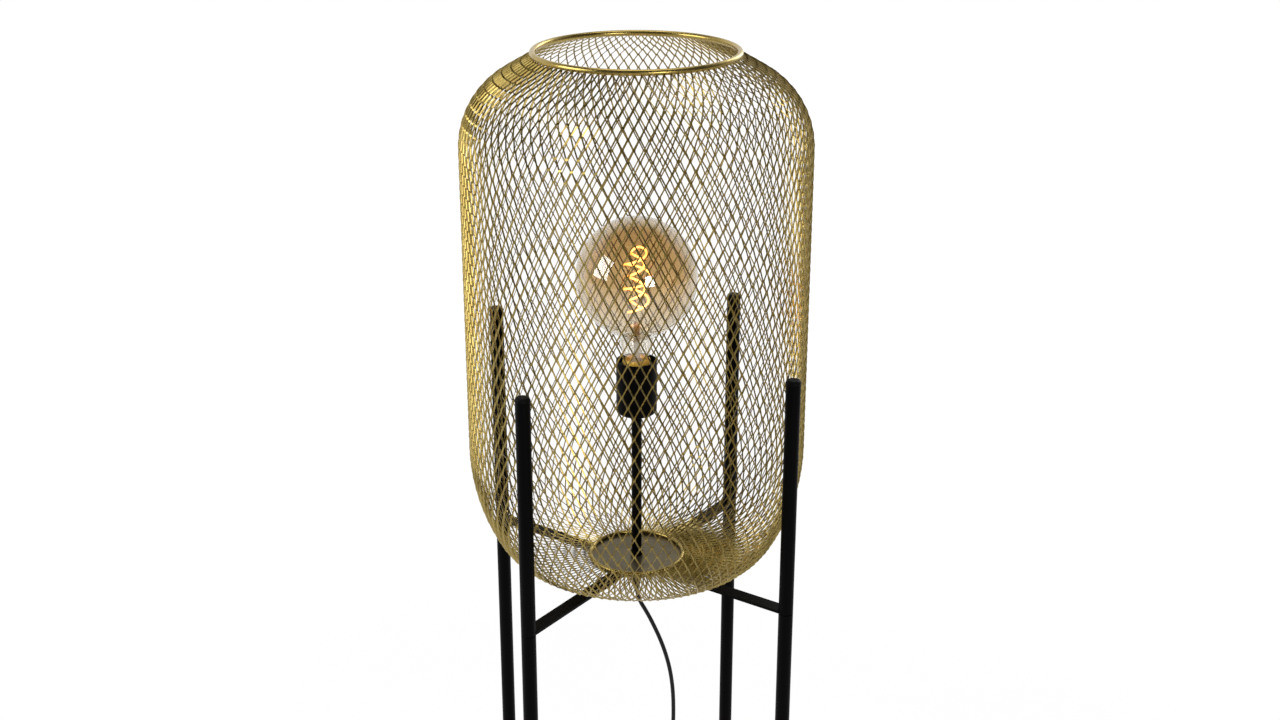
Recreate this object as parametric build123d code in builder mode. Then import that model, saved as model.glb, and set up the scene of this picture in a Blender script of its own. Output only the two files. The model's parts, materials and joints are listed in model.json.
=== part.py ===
"""Floor lamp: a barrel of expanded metal on four round posts, with a globe bulb on a stem inside.

Millimetres. Z is up, the floor is z = 0 and the lamp's axis is the Z axis. The front is -Y.
"""

import os
from math import cos, radians, sin, tan

from build123d import *

# ---- Driving dimensions: the stand ---------------------------------------------------------
RING_HEIGHT = 550.0  # the shade's lower hoop above the floor
LEG_DIAMETER = 15.0
LEG_WALL = 1.2
POST_RISE = 242.4  # top of the posts above the lower hoop
SEAM_DROP = 14.0  # joint between leg and post, below the lower hoop
SEAM_CHAMFER = 0.5
ARM_WIDTH = 15.0
ARM_THICKNESS = 3.0
ARM_DROP = 10.2  # top of the arms below the lower hoop
HUB_DIAMETER = 64.0
WELD_GAP = 0.1
FIT_GAP = 0.1  # plugs in tubes
THREAD_GAP = 0.05  # a screwed joint, each side
HOLE_GAP = 0.15  # a clearance hole, each side
GLIDE_HEIGHT = 8.0
PLUG_DEPTH = 15.0  # how far a plug goes into its tube
CAP_HEIGHT = 4.0
CAP_LIP = 0.3  # how far the lip of a cap stands out from its tube
CAP_LIP_HEIGHT = 1.0
CAP_DOME = 2.4
GLIDE_EDGE = 1.5
STUD_DIAMETER = 10.0
STUD_LENGTH = 20.0
BUSH_LENGTH = 24.0

# ---- Driving dimensions: the shade ---------------------------------------------------------
SHADE_DIAMETER = 350.0
POST_GAP = 4.5  # from the shade to each post
BOWL_RADIUS = 65.0  # arc from the flat underside
BOWL_TURN = 60.0
FLANK_RADIUS = 200.0  # arc that takes the bowl up into the wall
WALL_HEIGHT = 316.7
SHOULDER_RADIUS = 85.0
SHOULDER_TURN = 60.0
TOP_HOOP_DIAMETER = 201.8  # centre line
TOP_ROD = 6.0
TOP_HOOP_LIFT = 0.7  # centre of the top hoop above the line of the mesh
BOTTOM_HOOP_DIAMETER = 99.0  # centre line
BOTTOM_ROD = 3.8
STRAND_WIDTH = 3.0
STRAND_THICKNESS = 1.4
MESH_GAP = 0.4  # mesh ends to the hoops that they are welded to
CUT_DEPTH = 12.0  # reach of a diamond cut, each way from the mesh
MESH_COLUMNS = 20  # diamonds round the shade
MESH_ROWS = 14  # half diamonds from hoop to hoop
BENDS_PER_ROW = 2  # straight bits that each row of the mesh is bent from
DISC_THICKNESS = 1.8

# ---- Driving dimensions: stem and lampholder -----------------------------------------------
STEM_DIAMETER = 10.7
STEM_BORE = 7.0
THREAD_DIAMETER = 10.0
COLLAR_DIAMETER = 13.0
COLLAR_HEIGHT = 5.0
COLLAR_CHAMFER = 1.0
SPACER_DIAMETER = 24.0
WASHER_DIAMETER = 20.0
WASHER_THICKNESS = 1.2
NUT_ACROSS_FLATS = 14.0
NUT_HEIGHT = 4.0
THIN_NUT_HEIGHT = 3.0
CUP_RISE = 162.7  # underside of the socket cup above the lower hoop
CUP_DIAMETER = 42.4
CUP_HEIGHT = 59.2
CUP_WALL = 1.2
CUP_FLOOR = 1.5
CUP_EDGE_RADIUS = 6.0
HOLDER_DIAMETER = 34.0
HOLDER_WALL = 2.0
HOLDER_FLOOR = 3.0
HOLDER_TOP_DROP = 3.9  # top of the lampholder below the cup's rim
CORE_THICKNESS = 10.0
CORE_DROP = 31.9  # top of the contact carrier below the cup's rim
LEDGE_WIDTH = 1.5
SHELL_WALL = 0.5
TERMINAL_DIAMETER = 5.0
TERMINAL_SPREAD = 19.0
CONTACT_WIDTH = 5.0
CONTACT_THICKNESS = 0.5
CONTACT_REACH = 6.0
TERMINAL_DEPTH = 6.0
TERMINAL_SHOW = 3.0
SHELL_FLANGE_BORE = 8.0
CORE_WIRE = 1.2  # diameter of an inner wire

# ---- Driving dimensions: the bulb ----------------------------------------------------------
BULB_CAP_DIAMETER = 26.4
BULB_CAP_LENGTH = 24.0
BULB_CAP_WALL = 0.5
BULB_CAP_SHOW = 0.3  # the cap stands this far out of the cup
CAP_TAPER = 1.0
CAP_TAPER_HEIGHT = 2.5
BULB_GAP = 0.3  # running clearance between the bulb and the lampholder
TIP_DIAMETER = 9.0
TIP_HEIGHT = 1.6
INSULATOR_HEIGHT = 3.2
INSULATOR_IN_CAP = 0.8
GLOBE_DIAMETER = 125.0
GLASS_THICKNESS = 0.9
NECK_DEPTH = 7.0  # glass inside the cap
NECK_FLARE = 78.0  # slope of the neck
NECK_BLEND = 14.0
GLOBE_RISE = 89.7  # centre of the globe above the cup's rim
MOUNT_RADIUS = 3.2
MOUNT_RISE = 40.0  # top of the glass mount above the cup's rim
FLARE_HEIGHT = 11.0
FILAMENT_DIAMETER = 28.0
FILAMENT_ROD = 2.0
FILAMENT_SIDES = 6
FILAMENT_TURNS = 3
FILAMENT_PITCH = 23.3
FILAMENT_RISE = 52.0  # lower end of the filament above the cup's rim
SUPPORT_WIRE = 1.0

# ---- Driving dimensions: the cord ----------------------------------------------------------
CORD_DIAMETER = 4.5
CORD_SIDES = 8
CORD_CLEARANCE = 0.1
FLOOR_GAP = 0.1  # between the lying cord and the floor
GRIP_DIAMETER = 14.0
GRIP_HEAD = 7.1
GRIP_NECK_DIAMETER = 10.0
STEM_IN_GRIP = 5.6
GRIP_LENGTH = 21.6
GRIP_TIP_DIAMETER = 6.8
RELIEF_LENGTH = 24.0
RELIEF_ROOT_DIAMETER = 10.0
RELIEF_TIP_DIAMETER = 6.6
RELIEF_NECK_DIAMETER = 8.0
RELIEF_FLANGE_DIAMETER = 10.6
RELIEF_FLANGE = 1.5

COIL_CENTRE = (-30.0, 28.0)
COIL_MID_RADIUS = 26.0
COIL_TURNS = 3  # in each of the two layers
TURN_GAP = 0.45
CLIMB_EASE = 0.8  # how much further in the turn lies where it climbs
TIE_BAND = 0.8
TIE_WIDTH = 6.0
TIE_PLAY = 0.5
TIE_CORNER = 1.5

SWITCH_CENTRE = (-10.0, -98.0)
SWITCH_LENGTH = 78.0
SWITCH_WIDTH = 38.0
SWITCH_CORNER = 14.0
SWITCH_HEIGHT = 19.0
SWITCH_WALL = 2.0
CORD_AXIS_HEIGHT = 7.5  # cord's axis above the floor at the switch and the plug
BUTTON_DIAMETER = 20.4
BUTTON_HEIGHT = 9.5
BUTTON_TRAVEL = 3.0
BUTTON_GAP = 0.3
BUTTON_FLANGE = 1.5
BUTTON_LEDGE = 1.2  # how far the flange stands out from the button
BUTTON_EDGE = 1.5
BUTTON_CROWN = 1.8
COVER_EDGE = 4.0
SPRING_DIAMETER = 8.0  # centre line
SPRING_WIRE = 0.8
SPRING_TURNS = 4
BLOCK_LENGTH = 30.0
BLOCK_WIDTH = 22.0
TERMINAL_BLOCK = (6.0, 4.0, 7.0)
TERMINAL_PITCH = 6.4
SCREW_REACH = 24.0
SCREW_SPREAD = 11.0
SCREW_DIAMETER = 3.0
SCREW_LENGTH = 13.0
SCREW_HEAD = 5.4
SCREW_HEAD_HEIGHT = 1.8
SCREW_SINK = 0.5  # heads below the underside
BOSS_DIAMETER = 8.0

PLUG_END = (2.0, 108.0)  # where the cord enters the plug
PLUG_RELIEF = 22.0
PLUG_LENGTH = 38.0
PLUG_WIDTH = 35.0
PLUG_TAPER = 14.0
PLUG_NECK = 14.0
PLUG_EDGE = 3.0
PIN_DEPTH = 8.0
PIN_DIAMETER = 4.0
PIN_LENGTH = 19.0
PIN_SPREAD = 19.0

os.makedirs("parts", exist_ok=True)

# ---- Levels and radii worked out from them -------------------------------------------------
post_top = RING_HEIGHT + POST_RISE
seam = RING_HEIGHT - SEAM_DROP
arm_top = RING_HEIGHT - ARM_DROP
arm_low = arm_top - ARM_THICKNESS
washer_low = arm_low - WASHER_THICKNESS
nut_low = washer_low - NUT_HEIGHT
stem_low = nut_low - STEM_IN_GRIP
grip_tip = nut_low - GRIP_LENGTH
disc_top = RING_HEIGHT - BOTTOM_ROD / 2 - WELD_GAP
disc_low = disc_top - DISC_THICKNESS
collar_top = disc_top + COLLAR_HEIGHT
cup_low = RING_HEIGHT + CUP_RISE
cup_floor = cup_low + CUP_FLOOR
cup_rim = cup_low + CUP_HEIGHT
holder_low = cup_floor + THIN_NUT_HEIGHT
holder_floor = holder_low + HOLDER_FLOOR
core_top = cup_rim - CORE_DROP
core_low = core_top - CORE_THICKNESS
holder_top = cup_rim - HOLDER_TOP_DROP
bulb_cap_top = cup_rim + BULB_CAP_SHOW
bulb_cap_low = bulb_cap_top - BULB_CAP_LENGTH
insulator_top = bulb_cap_low + INSULATOR_IN_CAP
insulator_low = insulator_top - INSULATOR_HEIGHT
tip_low = insulator_low - TIP_HEIGHT
globe_centre = cup_rim + GLOBE_RISE
mount_top = cup_rim + MOUNT_RISE
filament_low = cup_rim + FILAMENT_RISE
filament_high = filament_low + FILAMENT_TURNS * FILAMENT_PITCH

leg_radius = LEG_DIAMETER / 2
leg_reach = SHADE_DIAMETER / 2 + POST_GAP + leg_radius  # from the lamp's axis to each leg's
leg_bore = leg_radius - LEG_WALL
plug_radius = leg_bore - FIT_GAP
thread_radius = THREAD_DIAMETER / 2
tapped_radius = thread_radius + THREAD_GAP
hole_radius = thread_radius + HOLE_GAP
cord_radius = CORD_DIAMETER / 2
CORNERS = {"front_left": 225, "front_right": 315, "rear_right": 45, "rear_left": 135}


def save(piece, name):
    """Label a finished piece and write it."""
    piece.label = name
    export_step(piece, f"parts/{name}.step")


def turned(*outline):
    """A solid turned about the Z axis from corners given as (radius, height)."""
    with BuildPart() as made:
        with BuildSketch(Plane.XZ):
            with BuildLine():
                Polyline(*outline, close=True)
            make_face()
        revolve(axis=Axis.Z)
    return made.part


def at_each_leg(piece):
    """Four copies of a piece, one on each leg's axis."""
    with BuildPart() as made:
        with PolarLocations(leg_reach, len(CORNERS), start_angle=45):
            add(piece)
    return made.part


# ---- Stand ---------------------------------------------------------------------------------
def leg_tube(low, high, angle, seam_end):
    """A round tube on one leg's axis, with a small chamfer where the two tubes meet."""
    with BuildPart() as made:
        with BuildSketch(Plane.XY.offset(low)):
            with PolarLocations(leg_reach, 1, start_angle=angle):
                Circle(leg_radius)
                Circle(leg_bore, mode=Mode.SUBTRACT)
        extrude(amount=high - low)
        rim = made.edges().group_by(Axis.Z)[seam_end].sort_by(SortBy.RADIUS)[-1]
        chamfer(rim, length=SEAM_CHAMFER)
    return made.part


for corner, angle in CORNERS.items():
    save(leg_tube(GLIDE_HEIGHT, seam, angle, -1), f"lower_leg_{corner}")
    save(leg_tube(seam, post_top - CAP_HEIGHT, angle, 0), f"upper_post_{corner}")

with BuildPart() as glide:
    with BuildSketch():
        Circle(leg_radius)
    extrude(amount=GLIDE_HEIGHT)
    fillet(glide.edges().group_by(Axis.Z)[0], radius=GLIDE_EDGE)
    with BuildSketch(Plane.XY.offset(GLIDE_HEIGHT)):
        Circle(plug_radius)
    extrude(amount=PLUG_DEPTH)
save(at_each_leg(glide.part), "foot_glides")

with BuildPart() as cap:
    with BuildSketch(Plane.XY.offset(post_top - CAP_HEIGHT)):
        Circle(leg_radius + CAP_LIP)
    extrude(amount=CAP_LIP_HEIGHT)
    with BuildSketch(Plane.XY.offset(post_top - CAP_HEIGHT + CAP_LIP_HEIGHT)):
        Circle(leg_radius - CAP_LIP)
    extrude(amount=CAP_HEIGHT - CAP_LIP_HEIGHT)
    fillet(cap.edges().group_by(Axis.Z)[-1], radius=CAP_DOME)
    with BuildSketch(Plane.XY.offset(post_top - CAP_HEIGHT)):
        Circle(plug_radius)
    extrude(amount=-PLUG_DEPTH)
save(at_each_leg(cap.part), "post_caps")

with BuildPart() as stud:
    with BuildSketch(Plane.XY.offset(seam - BUSH_LENGTH)):
        Circle(plug_radius)
    extrude(amount=BUSH_LENGTH)
    with BuildSketch(Plane.XY.offset(seam)):
        Circle(STUD_DIAMETER / 2)
    extrude(amount=STUD_LENGTH)
    chamfer(stud.edges().group_by(Axis.Z)[-1], length=SEAM_CHAMFER)
save(at_each_leg(stud.part), "leg_studs")

bush = turned(
    (STUD_DIAMETER / 2 + THREAD_GAP, seam),
    (plug_radius, seam),
    (plug_radius, seam + BUSH_LENGTH),
    (STUD_DIAMETER / 2 + THREAD_GAP, seam + BUSH_LENGTH),
)
save(at_each_leg(bush), "post_bushes")

with BuildPart() as arm_blank:
    with BuildSketch(Plane.XY.offset(arm_low)):
        with Locations((leg_reach / 2, 0)):
            Rectangle(leg_reach, ARM_WIDTH)
        Circle(HUB_DIAMETER / 2 + WELD_GAP, mode=Mode.SUBTRACT)
        with Locations((leg_reach, 0)):
            Circle(leg_radius + WELD_GAP, mode=Mode.SUBTRACT)
    extrude(amount=ARM_THICKNESS)

for corner, angle in CORNERS.items():
    with BuildPart() as cross_arm:
        with Locations(Rotation(0, 0, angle)):
            add(arm_blank.part)
    save(cross_arm.part, f"cross_arm_{corner}")

with BuildPart() as hub:
    with BuildSketch(Plane.XY.offset(arm_low)):
        Circle(HUB_DIAMETER / 2)
        Circle(hole_radius, mode=Mode.SUBTRACT)
    extrude(amount=ARM_THICKNESS)
save(hub.part, "hub_plate")


# ---- Shade ---------------------------------------------------------------------------------
# The outer skin's outline, from the bottom hoop out under the lamp, up the wall and in to the
# top hoop. The bowl and the flank share one tangent, and so do the wall and the shoulder.
flat_end = (
    SHADE_DIAMETER / 2
    - BOWL_RADIUS * sin(radians(BOWL_TURN))
    - FLANK_RADIUS * (1 - sin(radians(BOWL_TURN)))
)
mesh_low = RING_HEIGHT - STRAND_THICKNESS / 2
mesh_start = (BOTTOM_HOOP_DIAMETER + BOTTOM_ROD) / 2 + MESH_GAP
slope = radians(90 - SHOULDER_TURN)
shoulder_end = SHADE_DIAMETER / 2 - SHOULDER_RADIUS * (1 - cos(radians(SHOULDER_TURN)))
hoop_foot = TOP_HOOP_DIAMETER / 2 - TOP_HOOP_LIFT * sin(slope)
slope_run = (shoulder_end - hoop_foot) / cos(slope)
mesh_to_hoop = (TOP_ROD / 2 + MESH_GAP) ** 2 - TOP_HOOP_LIFT**2

with BuildLine(Plane.XZ) as skin:
    underside = Line((mesh_start, mesh_low), (flat_end, mesh_low))
    bowl = JernArc(underside @ 1, underside % 1, BOWL_RADIUS, BOWL_TURN)
    flank = JernArc(bowl @ 1, bowl % 1, FLANK_RADIUS, 90 - BOWL_TURN)
    wall = Line(flank @ 1, (flank @ 1) + (flank % 1) * WALL_HEIGHT)
    shoulder = JernArc(wall @ 1, wall % 1, SHOULDER_RADIUS, SHOULDER_TURN)
    Line(shoulder @ 1, (shoulder @ 1) + (shoulder % 1) * (slope_run - mesh_to_hoop**0.5))
outline = skin.wires()[0]
top_hoop_height = (shoulder @ 1).Z + slope_run * sin(slope) + TOP_HOOP_LIFT * cos(slope)

# The mesh is made of gores, each half a diamond wide and flat across. One gore is a zigzag
# ribbon: its strands cross from side to side, one in each row. Its neighbour is its mirror image.
gore_turn = 180 / MESH_COLUMNS
side_slope = tan(radians(gore_turn / 2))
to_flat = cos(radians(gore_turn / 2))  # the gore's middle lies a little inside its borders
reach = SHADE_DIAMETER


def on_gore(share):
    """The place on the gore's middle line at a share of the outline's length."""
    place = outline @ share
    return Vector(place.X * to_flat, 0, place.Z)


rows = [on_gore(row / MESH_ROWS) for row in range(MESH_ROWS + 1)]
bends = [on_gore(bend / (MESH_ROWS * BENDS_PER_ROW)) for bend in range(MESH_ROWS * BENDS_PER_ROW + 1)]

with BuildPart() as gore:
    with BuildSketch(Plane.XZ):
        with BuildLine():
            Polyline(*[(place.X, place.Z) for place in bends])
            offset(amount=STRAND_THICKNESS, side=Side.LEFT, kind=Kind.INTERSECTION)
        make_face()
    extrude(amount=reach * side_slope, both=True)
    with BuildSketch(Plane.XY.offset(RING_HEIGHT - STRAND_THICKNESS)):
        with BuildLine():
            Polyline((0, 0), (reach, -reach * side_slope), (reach, reach * side_slope), close=True)
        make_face()
    extrude(amount=top_hoop_height - RING_HEIGHT + TOP_ROD, mode=Mode.INTERSECT)
    for row, middle in enumerate(rows):
        below = rows[row - 1] if row > 0 else middle * 2 - rows[1]
        above = rows[row + 1] if row < MESH_ROWS else middle * 2 - rows[row - 1]
        climb = (above - below).normalized()
        facing = Plane(middle, x_dir=(0, 1, 0), z_dir=climb.cross(Vector(0, 1, 0)))
        side = side_slope if row % 2 else -side_slope
        with BuildSketch(facing):
            with BuildLine():
                Polyline(
                    (-side * below.X, (below - middle).dot(facing.y_dir)),
                    (side * middle.X, 0),
                    (-side * above.X, (above - middle).dot(facing.y_dir)),
                    (-3 * side * middle.X, 0),
                    close=True,
                )
            make_face()
            offset(amount=-STRAND_WIDTH / 2, kind=Kind.INTERSECTION)
        extrude(amount=CUT_DEPTH, both=True, mode=Mode.SUBTRACT)

with BuildPart() as gore_pair:
    with Locations(Rotation(0, 0, gore_turn / 2)):
        add(gore.part)
    mirror(about=Plane.XZ)

with BuildPart() as shade_mesh:
    with PolarLocations(0, MESH_COLUMNS):
        add(gore_pair.part)
save(shade_mesh.part, "shade_mesh")


def hoop(diameter, rod, height):
    """A ring of round rod."""
    with BuildPart() as made:
        with BuildSketch(Plane.XZ):
            with Locations((diameter / 2, height)):
                Circle(rod / 2)
        revolve(axis=Axis.Z)
    return made.part


save(hoop(TOP_HOOP_DIAMETER, TOP_ROD, top_hoop_height), "top_hoop")
save(hoop(BOTTOM_HOOP_DIAMETER, BOTTOM_ROD, RING_HEIGHT), "bottom_hoop")


def plate(radius, bore, low, high):
    """A round plate with a hole in the middle."""
    return turned((bore, low), (radius, low), (radius, high), (bore, high))


save(plate((BOTTOM_HOOP_DIAMETER + BOTTOM_ROD) / 2, hole_radius, disc_low, disc_top), "base_disc")
save(plate(SPACER_DIAMETER / 2, hole_radius, arm_top, disc_low), "disc_spacer")
save(plate(WASHER_DIAMETER / 2, hole_radius, washer_low, arm_low), "hub_washer")


# ---- Stem ----------------------------------------------------------------------------------
def hex_nut(low, height):
    with BuildPart() as made:
        with BuildSketch(Plane.XY.offset(low)):
            RegularPolygon(NUT_ACROSS_FLATS / 2, 6, major_radius=False)
            Circle(tapped_radius, mode=Mode.SUBTRACT)
        extrude(amount=height)
    return made.part


save(hex_nut(nut_low, NUT_HEIGHT), "stem_lock_nut")
save(hex_nut(cup_floor, THIN_NUT_HEIGHT), "cup_nut")
stem = turned(
    (STEM_BORE / 2, stem_low),
    (thread_radius, stem_low),
    (thread_radius, collar_top),
    (STEM_DIAMETER / 2, collar_top),
    (STEM_DIAMETER / 2, cup_low),
    (thread_radius, cup_low),
    (thread_radius, holder_floor),
    (STEM_BORE / 2, holder_floor),
)
save(stem, "stem_tube")

with BuildPart() as stem_collar:
    add(plate(COLLAR_DIAMETER / 2, tapped_radius, disc_top, collar_top))
    outer = stem_collar.edges().group_by(Axis.Z)[-1].sort_by(SortBy.RADIUS)[-1]
    chamfer(outer, length=COLLAR_CHAMFER)
save(stem_collar.part, "stem_collar")

# ---- Lampholder ----------------------------------------------------------------------------
def beaker(low, radius, edge_radius):
    """A round block with a rounded lower edge."""
    with BuildPart() as made:
        with BuildSketch(Plane.XY.offset(low)):
            Circle(radius)
        extrude(amount=cup_rim - low)
        fillet(made.edges().group_by(Axis.Z)[0], radius=edge_radius)
    return made.part


with BuildPart() as socket_cup:
    add(beaker(cup_low, CUP_DIAMETER / 2, CUP_EDGE_RADIUS))
    hollow = beaker(cup_floor, CUP_DIAMETER / 2 - CUP_WALL, CUP_EDGE_RADIUS - CUP_FLOOR)
    add(hollow, mode=Mode.SUBTRACT)
    with BuildSketch(Plane.XY.offset(cup_low)):
        Circle(hole_radius)
    extrude(amount=CUP_FLOOR, mode=Mode.SUBTRACT)
save(socket_cup.part, "socket_cup")

holder_radius = HOLDER_DIAMETER / 2
holder_bore = holder_radius - HOLDER_WALL
core_radius = holder_bore - FIT_GAP
shell_bore = BULB_CAP_DIAMETER / 2 + BULB_GAP
shell_radius = shell_bore + SHELL_WALL
holder_base = turned(
    (tapped_radius, holder_low),
    (holder_radius, holder_low),
    (holder_radius, core_top),
    (holder_bore, core_top),
    (holder_bore, core_low),
    (holder_bore - LEDGE_WIDTH, core_low),
    (holder_bore - LEDGE_WIDTH, holder_floor),
    (tapped_radius, holder_floor),
)
save(holder_base, "holder_base")
save(plate(holder_radius, shell_radius + FIT_GAP, core_top, holder_top), "holder_skirt")

terminal_places = [(0, TERMINAL_SPREAD / 2), (0, -TERMINAL_SPREAD / 2)]
with BuildPart() as contact_carrier:
    with BuildSketch(Plane.XY.offset(core_low)):
        Circle(core_radius)
    extrude(amount=CORE_THICKNESS)
    with BuildSketch(Plane.XY.offset(core_low)):
        with Locations(*terminal_places):
            Circle(TERMINAL_DIAMETER / 2 + FIT_GAP)
    extrude(amount=TERMINAL_DEPTH, mode=Mode.SUBTRACT)
save(contact_carrier.part, "contact_carrier")

terminal_low = core_low - TERMINAL_SHOW
with BuildPart() as terminals:
    with BuildSketch(Plane.XY.offset(terminal_low)):
        with Locations(*terminal_places):
            Circle(TERMINAL_DIAMETER / 2)
    extrude(amount=TERMINAL_SHOW + TERMINAL_DEPTH)
save(terminals.part, "terminals")

screw_shell = turned(
    (SHELL_FLANGE_BORE, core_top),
    (shell_radius, core_top),
    (shell_radius, holder_top),
    (shell_bore, holder_top),
    (shell_bore, core_top + SHELL_WALL),
    (SHELL_FLANGE_BORE, core_top + SHELL_WALL),
)
save(screw_shell, "screw_shell")

# A sprung strip: a foot on the contact carrier, a slope up, and a flat that the bulb's tip meets.
contact_top = tip_low - BULB_GAP
with BuildPart() as centre_contact:
    with BuildSketch(Plane.XZ):
        with BuildLine():
            Polyline(
                (-CONTACT_REACH, core_top),
                (-CONTACT_REACH / 2, core_top),
                (-CONTACT_REACH / 4, contact_top - CONTACT_THICKNESS),
                (CONTACT_REACH / 2, contact_top - CONTACT_THICKNESS),
            )
            offset(amount=CONTACT_THICKNESS, side=Side.LEFT, kind=Kind.INTERSECTION)
        make_face()
    extrude(amount=CONTACT_WIDTH / 2, both=True)
save(centre_contact.part, "centre_contact")

with BuildPart() as inner_lead:
    with BuildSketch(Plane.XY.offset(grip_tip)):
        Circle(cord_radius)
    extrude(amount=holder_floor - grip_tip)
    for side in (1, -1):
        half_way = (holder_floor + terminal_low) / 2
        with BuildLine() as core_route:
            FilletPolyline(
                (0, side * CORE_WIRE, holder_floor),
                (0, side * CORE_WIRE, half_way - CORE_WIRE),
                (0, side * TERMINAL_SPREAD / 2, half_way + CORE_WIRE),
                (0, side * TERMINAL_SPREAD / 2, terminal_low),
                radius=CORE_WIRE * 0.8,
            )
        with BuildSketch(Plane.XY.offset(holder_floor)):
            with Locations((0, side * CORE_WIRE)):
                Circle(CORE_WIRE / 2)
        sweep(path=core_route.wires()[0])
save(inner_lead.part, "inner_lead")


# ---- Bulb ----------------------------------------------------------------------------------
cap_radius = BULB_CAP_DIAMETER / 2
cap_bore = cap_radius - BULB_CAP_WALL
cap_nose = cap_radius - CAP_TAPER
bulb_cap = turned(
    (cap_nose, bulb_cap_low),
    (cap_radius, bulb_cap_low + CAP_TAPER_HEIGHT),
    (cap_radius, bulb_cap_top),
    (cap_bore, bulb_cap_top),
    (cap_bore, bulb_cap_low + CAP_TAPER_HEIGHT),
    (cap_nose - BULB_CAP_WALL, bulb_cap_low),
)
save(bulb_cap, "bulb_cap")
insulator_radius = cap_nose - BULB_CAP_WALL - FIT_GAP
save(
    turned(
        (0, insulator_low),
        (TIP_DIAMETER / 2 + CAP_TAPER, insulator_low),
        (insulator_radius, bulb_cap_low),
        (insulator_radius, insulator_top),
        (0, insulator_top),
    ),
    "bulb_insulator",
)
with BuildPart() as bulb_tip:
    with BuildSketch(Plane.XY.offset(tip_low)):
        Circle(TIP_DIAMETER / 2)
    extrude(amount=TIP_HEIGHT)
    fillet(bulb_tip.edges().group_by(Axis.Z)[0], radius=TIP_HEIGHT / 2)
save(bulb_tip.part, "bulb_tip")

# The neck leans out along a straight line, and one concave arc takes it into the globe.
globe_radius = GLOBE_DIAMETER / 2
glass_low = bulb_cap_top - NECK_DEPTH
neck_radius = cap_bore - FIT_GAP
lean = Vector(cos(radians(NECK_FLARE)), sin(radians(NECK_FLARE)))
outward = Vector(lean.Y, -lean.X)
neck_foot = Vector(neck_radius, bulb_cap_top)
from_globe = neck_foot + outward * NECK_BLEND - Vector(0, globe_centre)
reach_blend = globe_radius + NECK_BLEND
along = from_globe.dot(lean)
neck_run = -along - (along**2 - from_globe.length**2 + reach_blend**2) ** 0.5
blend_start = neck_foot + lean * neck_run
blend_centre = blend_start + outward * NECK_BLEND
globe_start = Vector(0, globe_centre) + (blend_centre - Vector(0, globe_centre)) * (
    globe_radius / reach_blend
)
with BuildPart() as bulb_glass:
    with BuildSketch(Plane.XZ):
        with BuildLine():
            Polyline((neck_radius, glass_low), neck_foot, blend_start)
            blend = TangentArc(blend_start, globe_start, tangent=lean)
            TangentArc(globe_start, (0, globe_centre + globe_radius), tangent=blend % 1)
            offset(amount=GLASS_THICKNESS, side=Side.LEFT, kind=Kind.INTERSECTION)
        make_face()
    revolve(axis=Axis.Z)
save(bulb_glass.part, "bulb_glass")

flare_radius = neck_radius - GLASS_THICKNESS - FIT_GAP
with BuildPart() as glass_mount:
    with BuildSketch(Plane.XZ):
        with BuildLine():
            Polyline(
                (flare_radius, glass_low),
                (flare_radius, glass_low + GLASS_THICKNESS),
                (MOUNT_RADIUS, glass_low + FLARE_HEIGHT),
                (MOUNT_RADIUS, mount_top),
                (0, mount_top),
                (0, mount_top - MOUNT_RADIUS),
                (MOUNT_RADIUS - GLASS_THICKNESS, mount_top - MOUNT_RADIUS),
                (MOUNT_RADIUS - GLASS_THICKNESS, glass_low + FLARE_HEIGHT),
                (flare_radius - GLASS_THICKNESS, glass_low),
                close=True,
            )
        make_face()
    revolve(axis=Axis.Z)
save(glass_mount.part, "glass_mount")

filament_radius = FILAMENT_DIAMETER / 2
with BuildPart() as filament:
    with BuildLine():
        Helix(
            pitch=FILAMENT_PITCH,
            height=filament_high - filament_low,
            radius=filament_radius,
            center=(0, 0, filament_low),
        )
    with BuildSketch(Plane((filament_radius, 0, filament_low), z_dir=(0, 1, 0))):
        RegularPolygon(FILAMENT_ROD / 2, FILAMENT_SIDES)
    sweep(is_frenet=True)
save(filament.part, "filament")

wire_gap = FILAMENT_ROD / 2 + FIT_GAP
wire_offset = MOUNT_RADIUS / 2


def support_wire(*route):
    """A bent round wire."""
    with BuildPart() as made:
        with BuildLine() as bent:
            FilletPolyline(*route, radius=SUPPORT_WIRE)
        with BuildSketch(Plane(bent.line @ 0, z_dir=bent.line % 0)):
            Circle(SUPPORT_WIRE / 2)
        sweep()
    return made.part


with BuildPart() as support_wires:
    add(
        support_wire(
            (wire_offset, 0, mount_top),
            (wire_offset, 0, mount_top + SUPPORT_WIRE * 3),
            (filament_radius, 0, filament_low - wire_gap - SUPPORT_WIRE * 3),
            (filament_radius, 0, filament_low - wire_gap),
        )
    )
    add(
        support_wire(
            (-wire_offset, 0, mount_top),
            (-wire_offset, 0, filament_high + wire_gap + SUPPORT_WIRE * 3),
            (filament_radius, 0, filament_high + wire_gap + SUPPORT_WIRE * 3),
            (filament_radius, 0, filament_high + wire_gap),
        )
    )
save(support_wires.part, "support_wires")


# ---- Cord ----------------------------------------------------------------------------------
grip_bore = cord_radius + CORD_CLEARANCE
grip_step = nut_low - GRIP_HEAD
with BuildPart() as cord_grip:
    add(
        turned(
            (grip_bore, grip_tip),
            (GRIP_TIP_DIAMETER / 2, grip_tip),
            (GRIP_NECK_DIAMETER / 2, grip_step),
            (GRIP_DIAMETER / 2, grip_step),
            (GRIP_DIAMETER / 2, nut_low),
            (tapped_radius, nut_low),
            (tapped_radius, stem_low),
            (grip_bore, stem_low),
        )
    )
    shoulders = cord_grip.edges().filter_by(GeomType.CIRCLE).sort_by(SortBy.RADIUS)[-2:]
    chamfer(shoulders.sort_by(Axis.Z)[0], length=COLLAR_CHAMFER)
save(cord_grip.part, "cord_grip")


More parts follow.
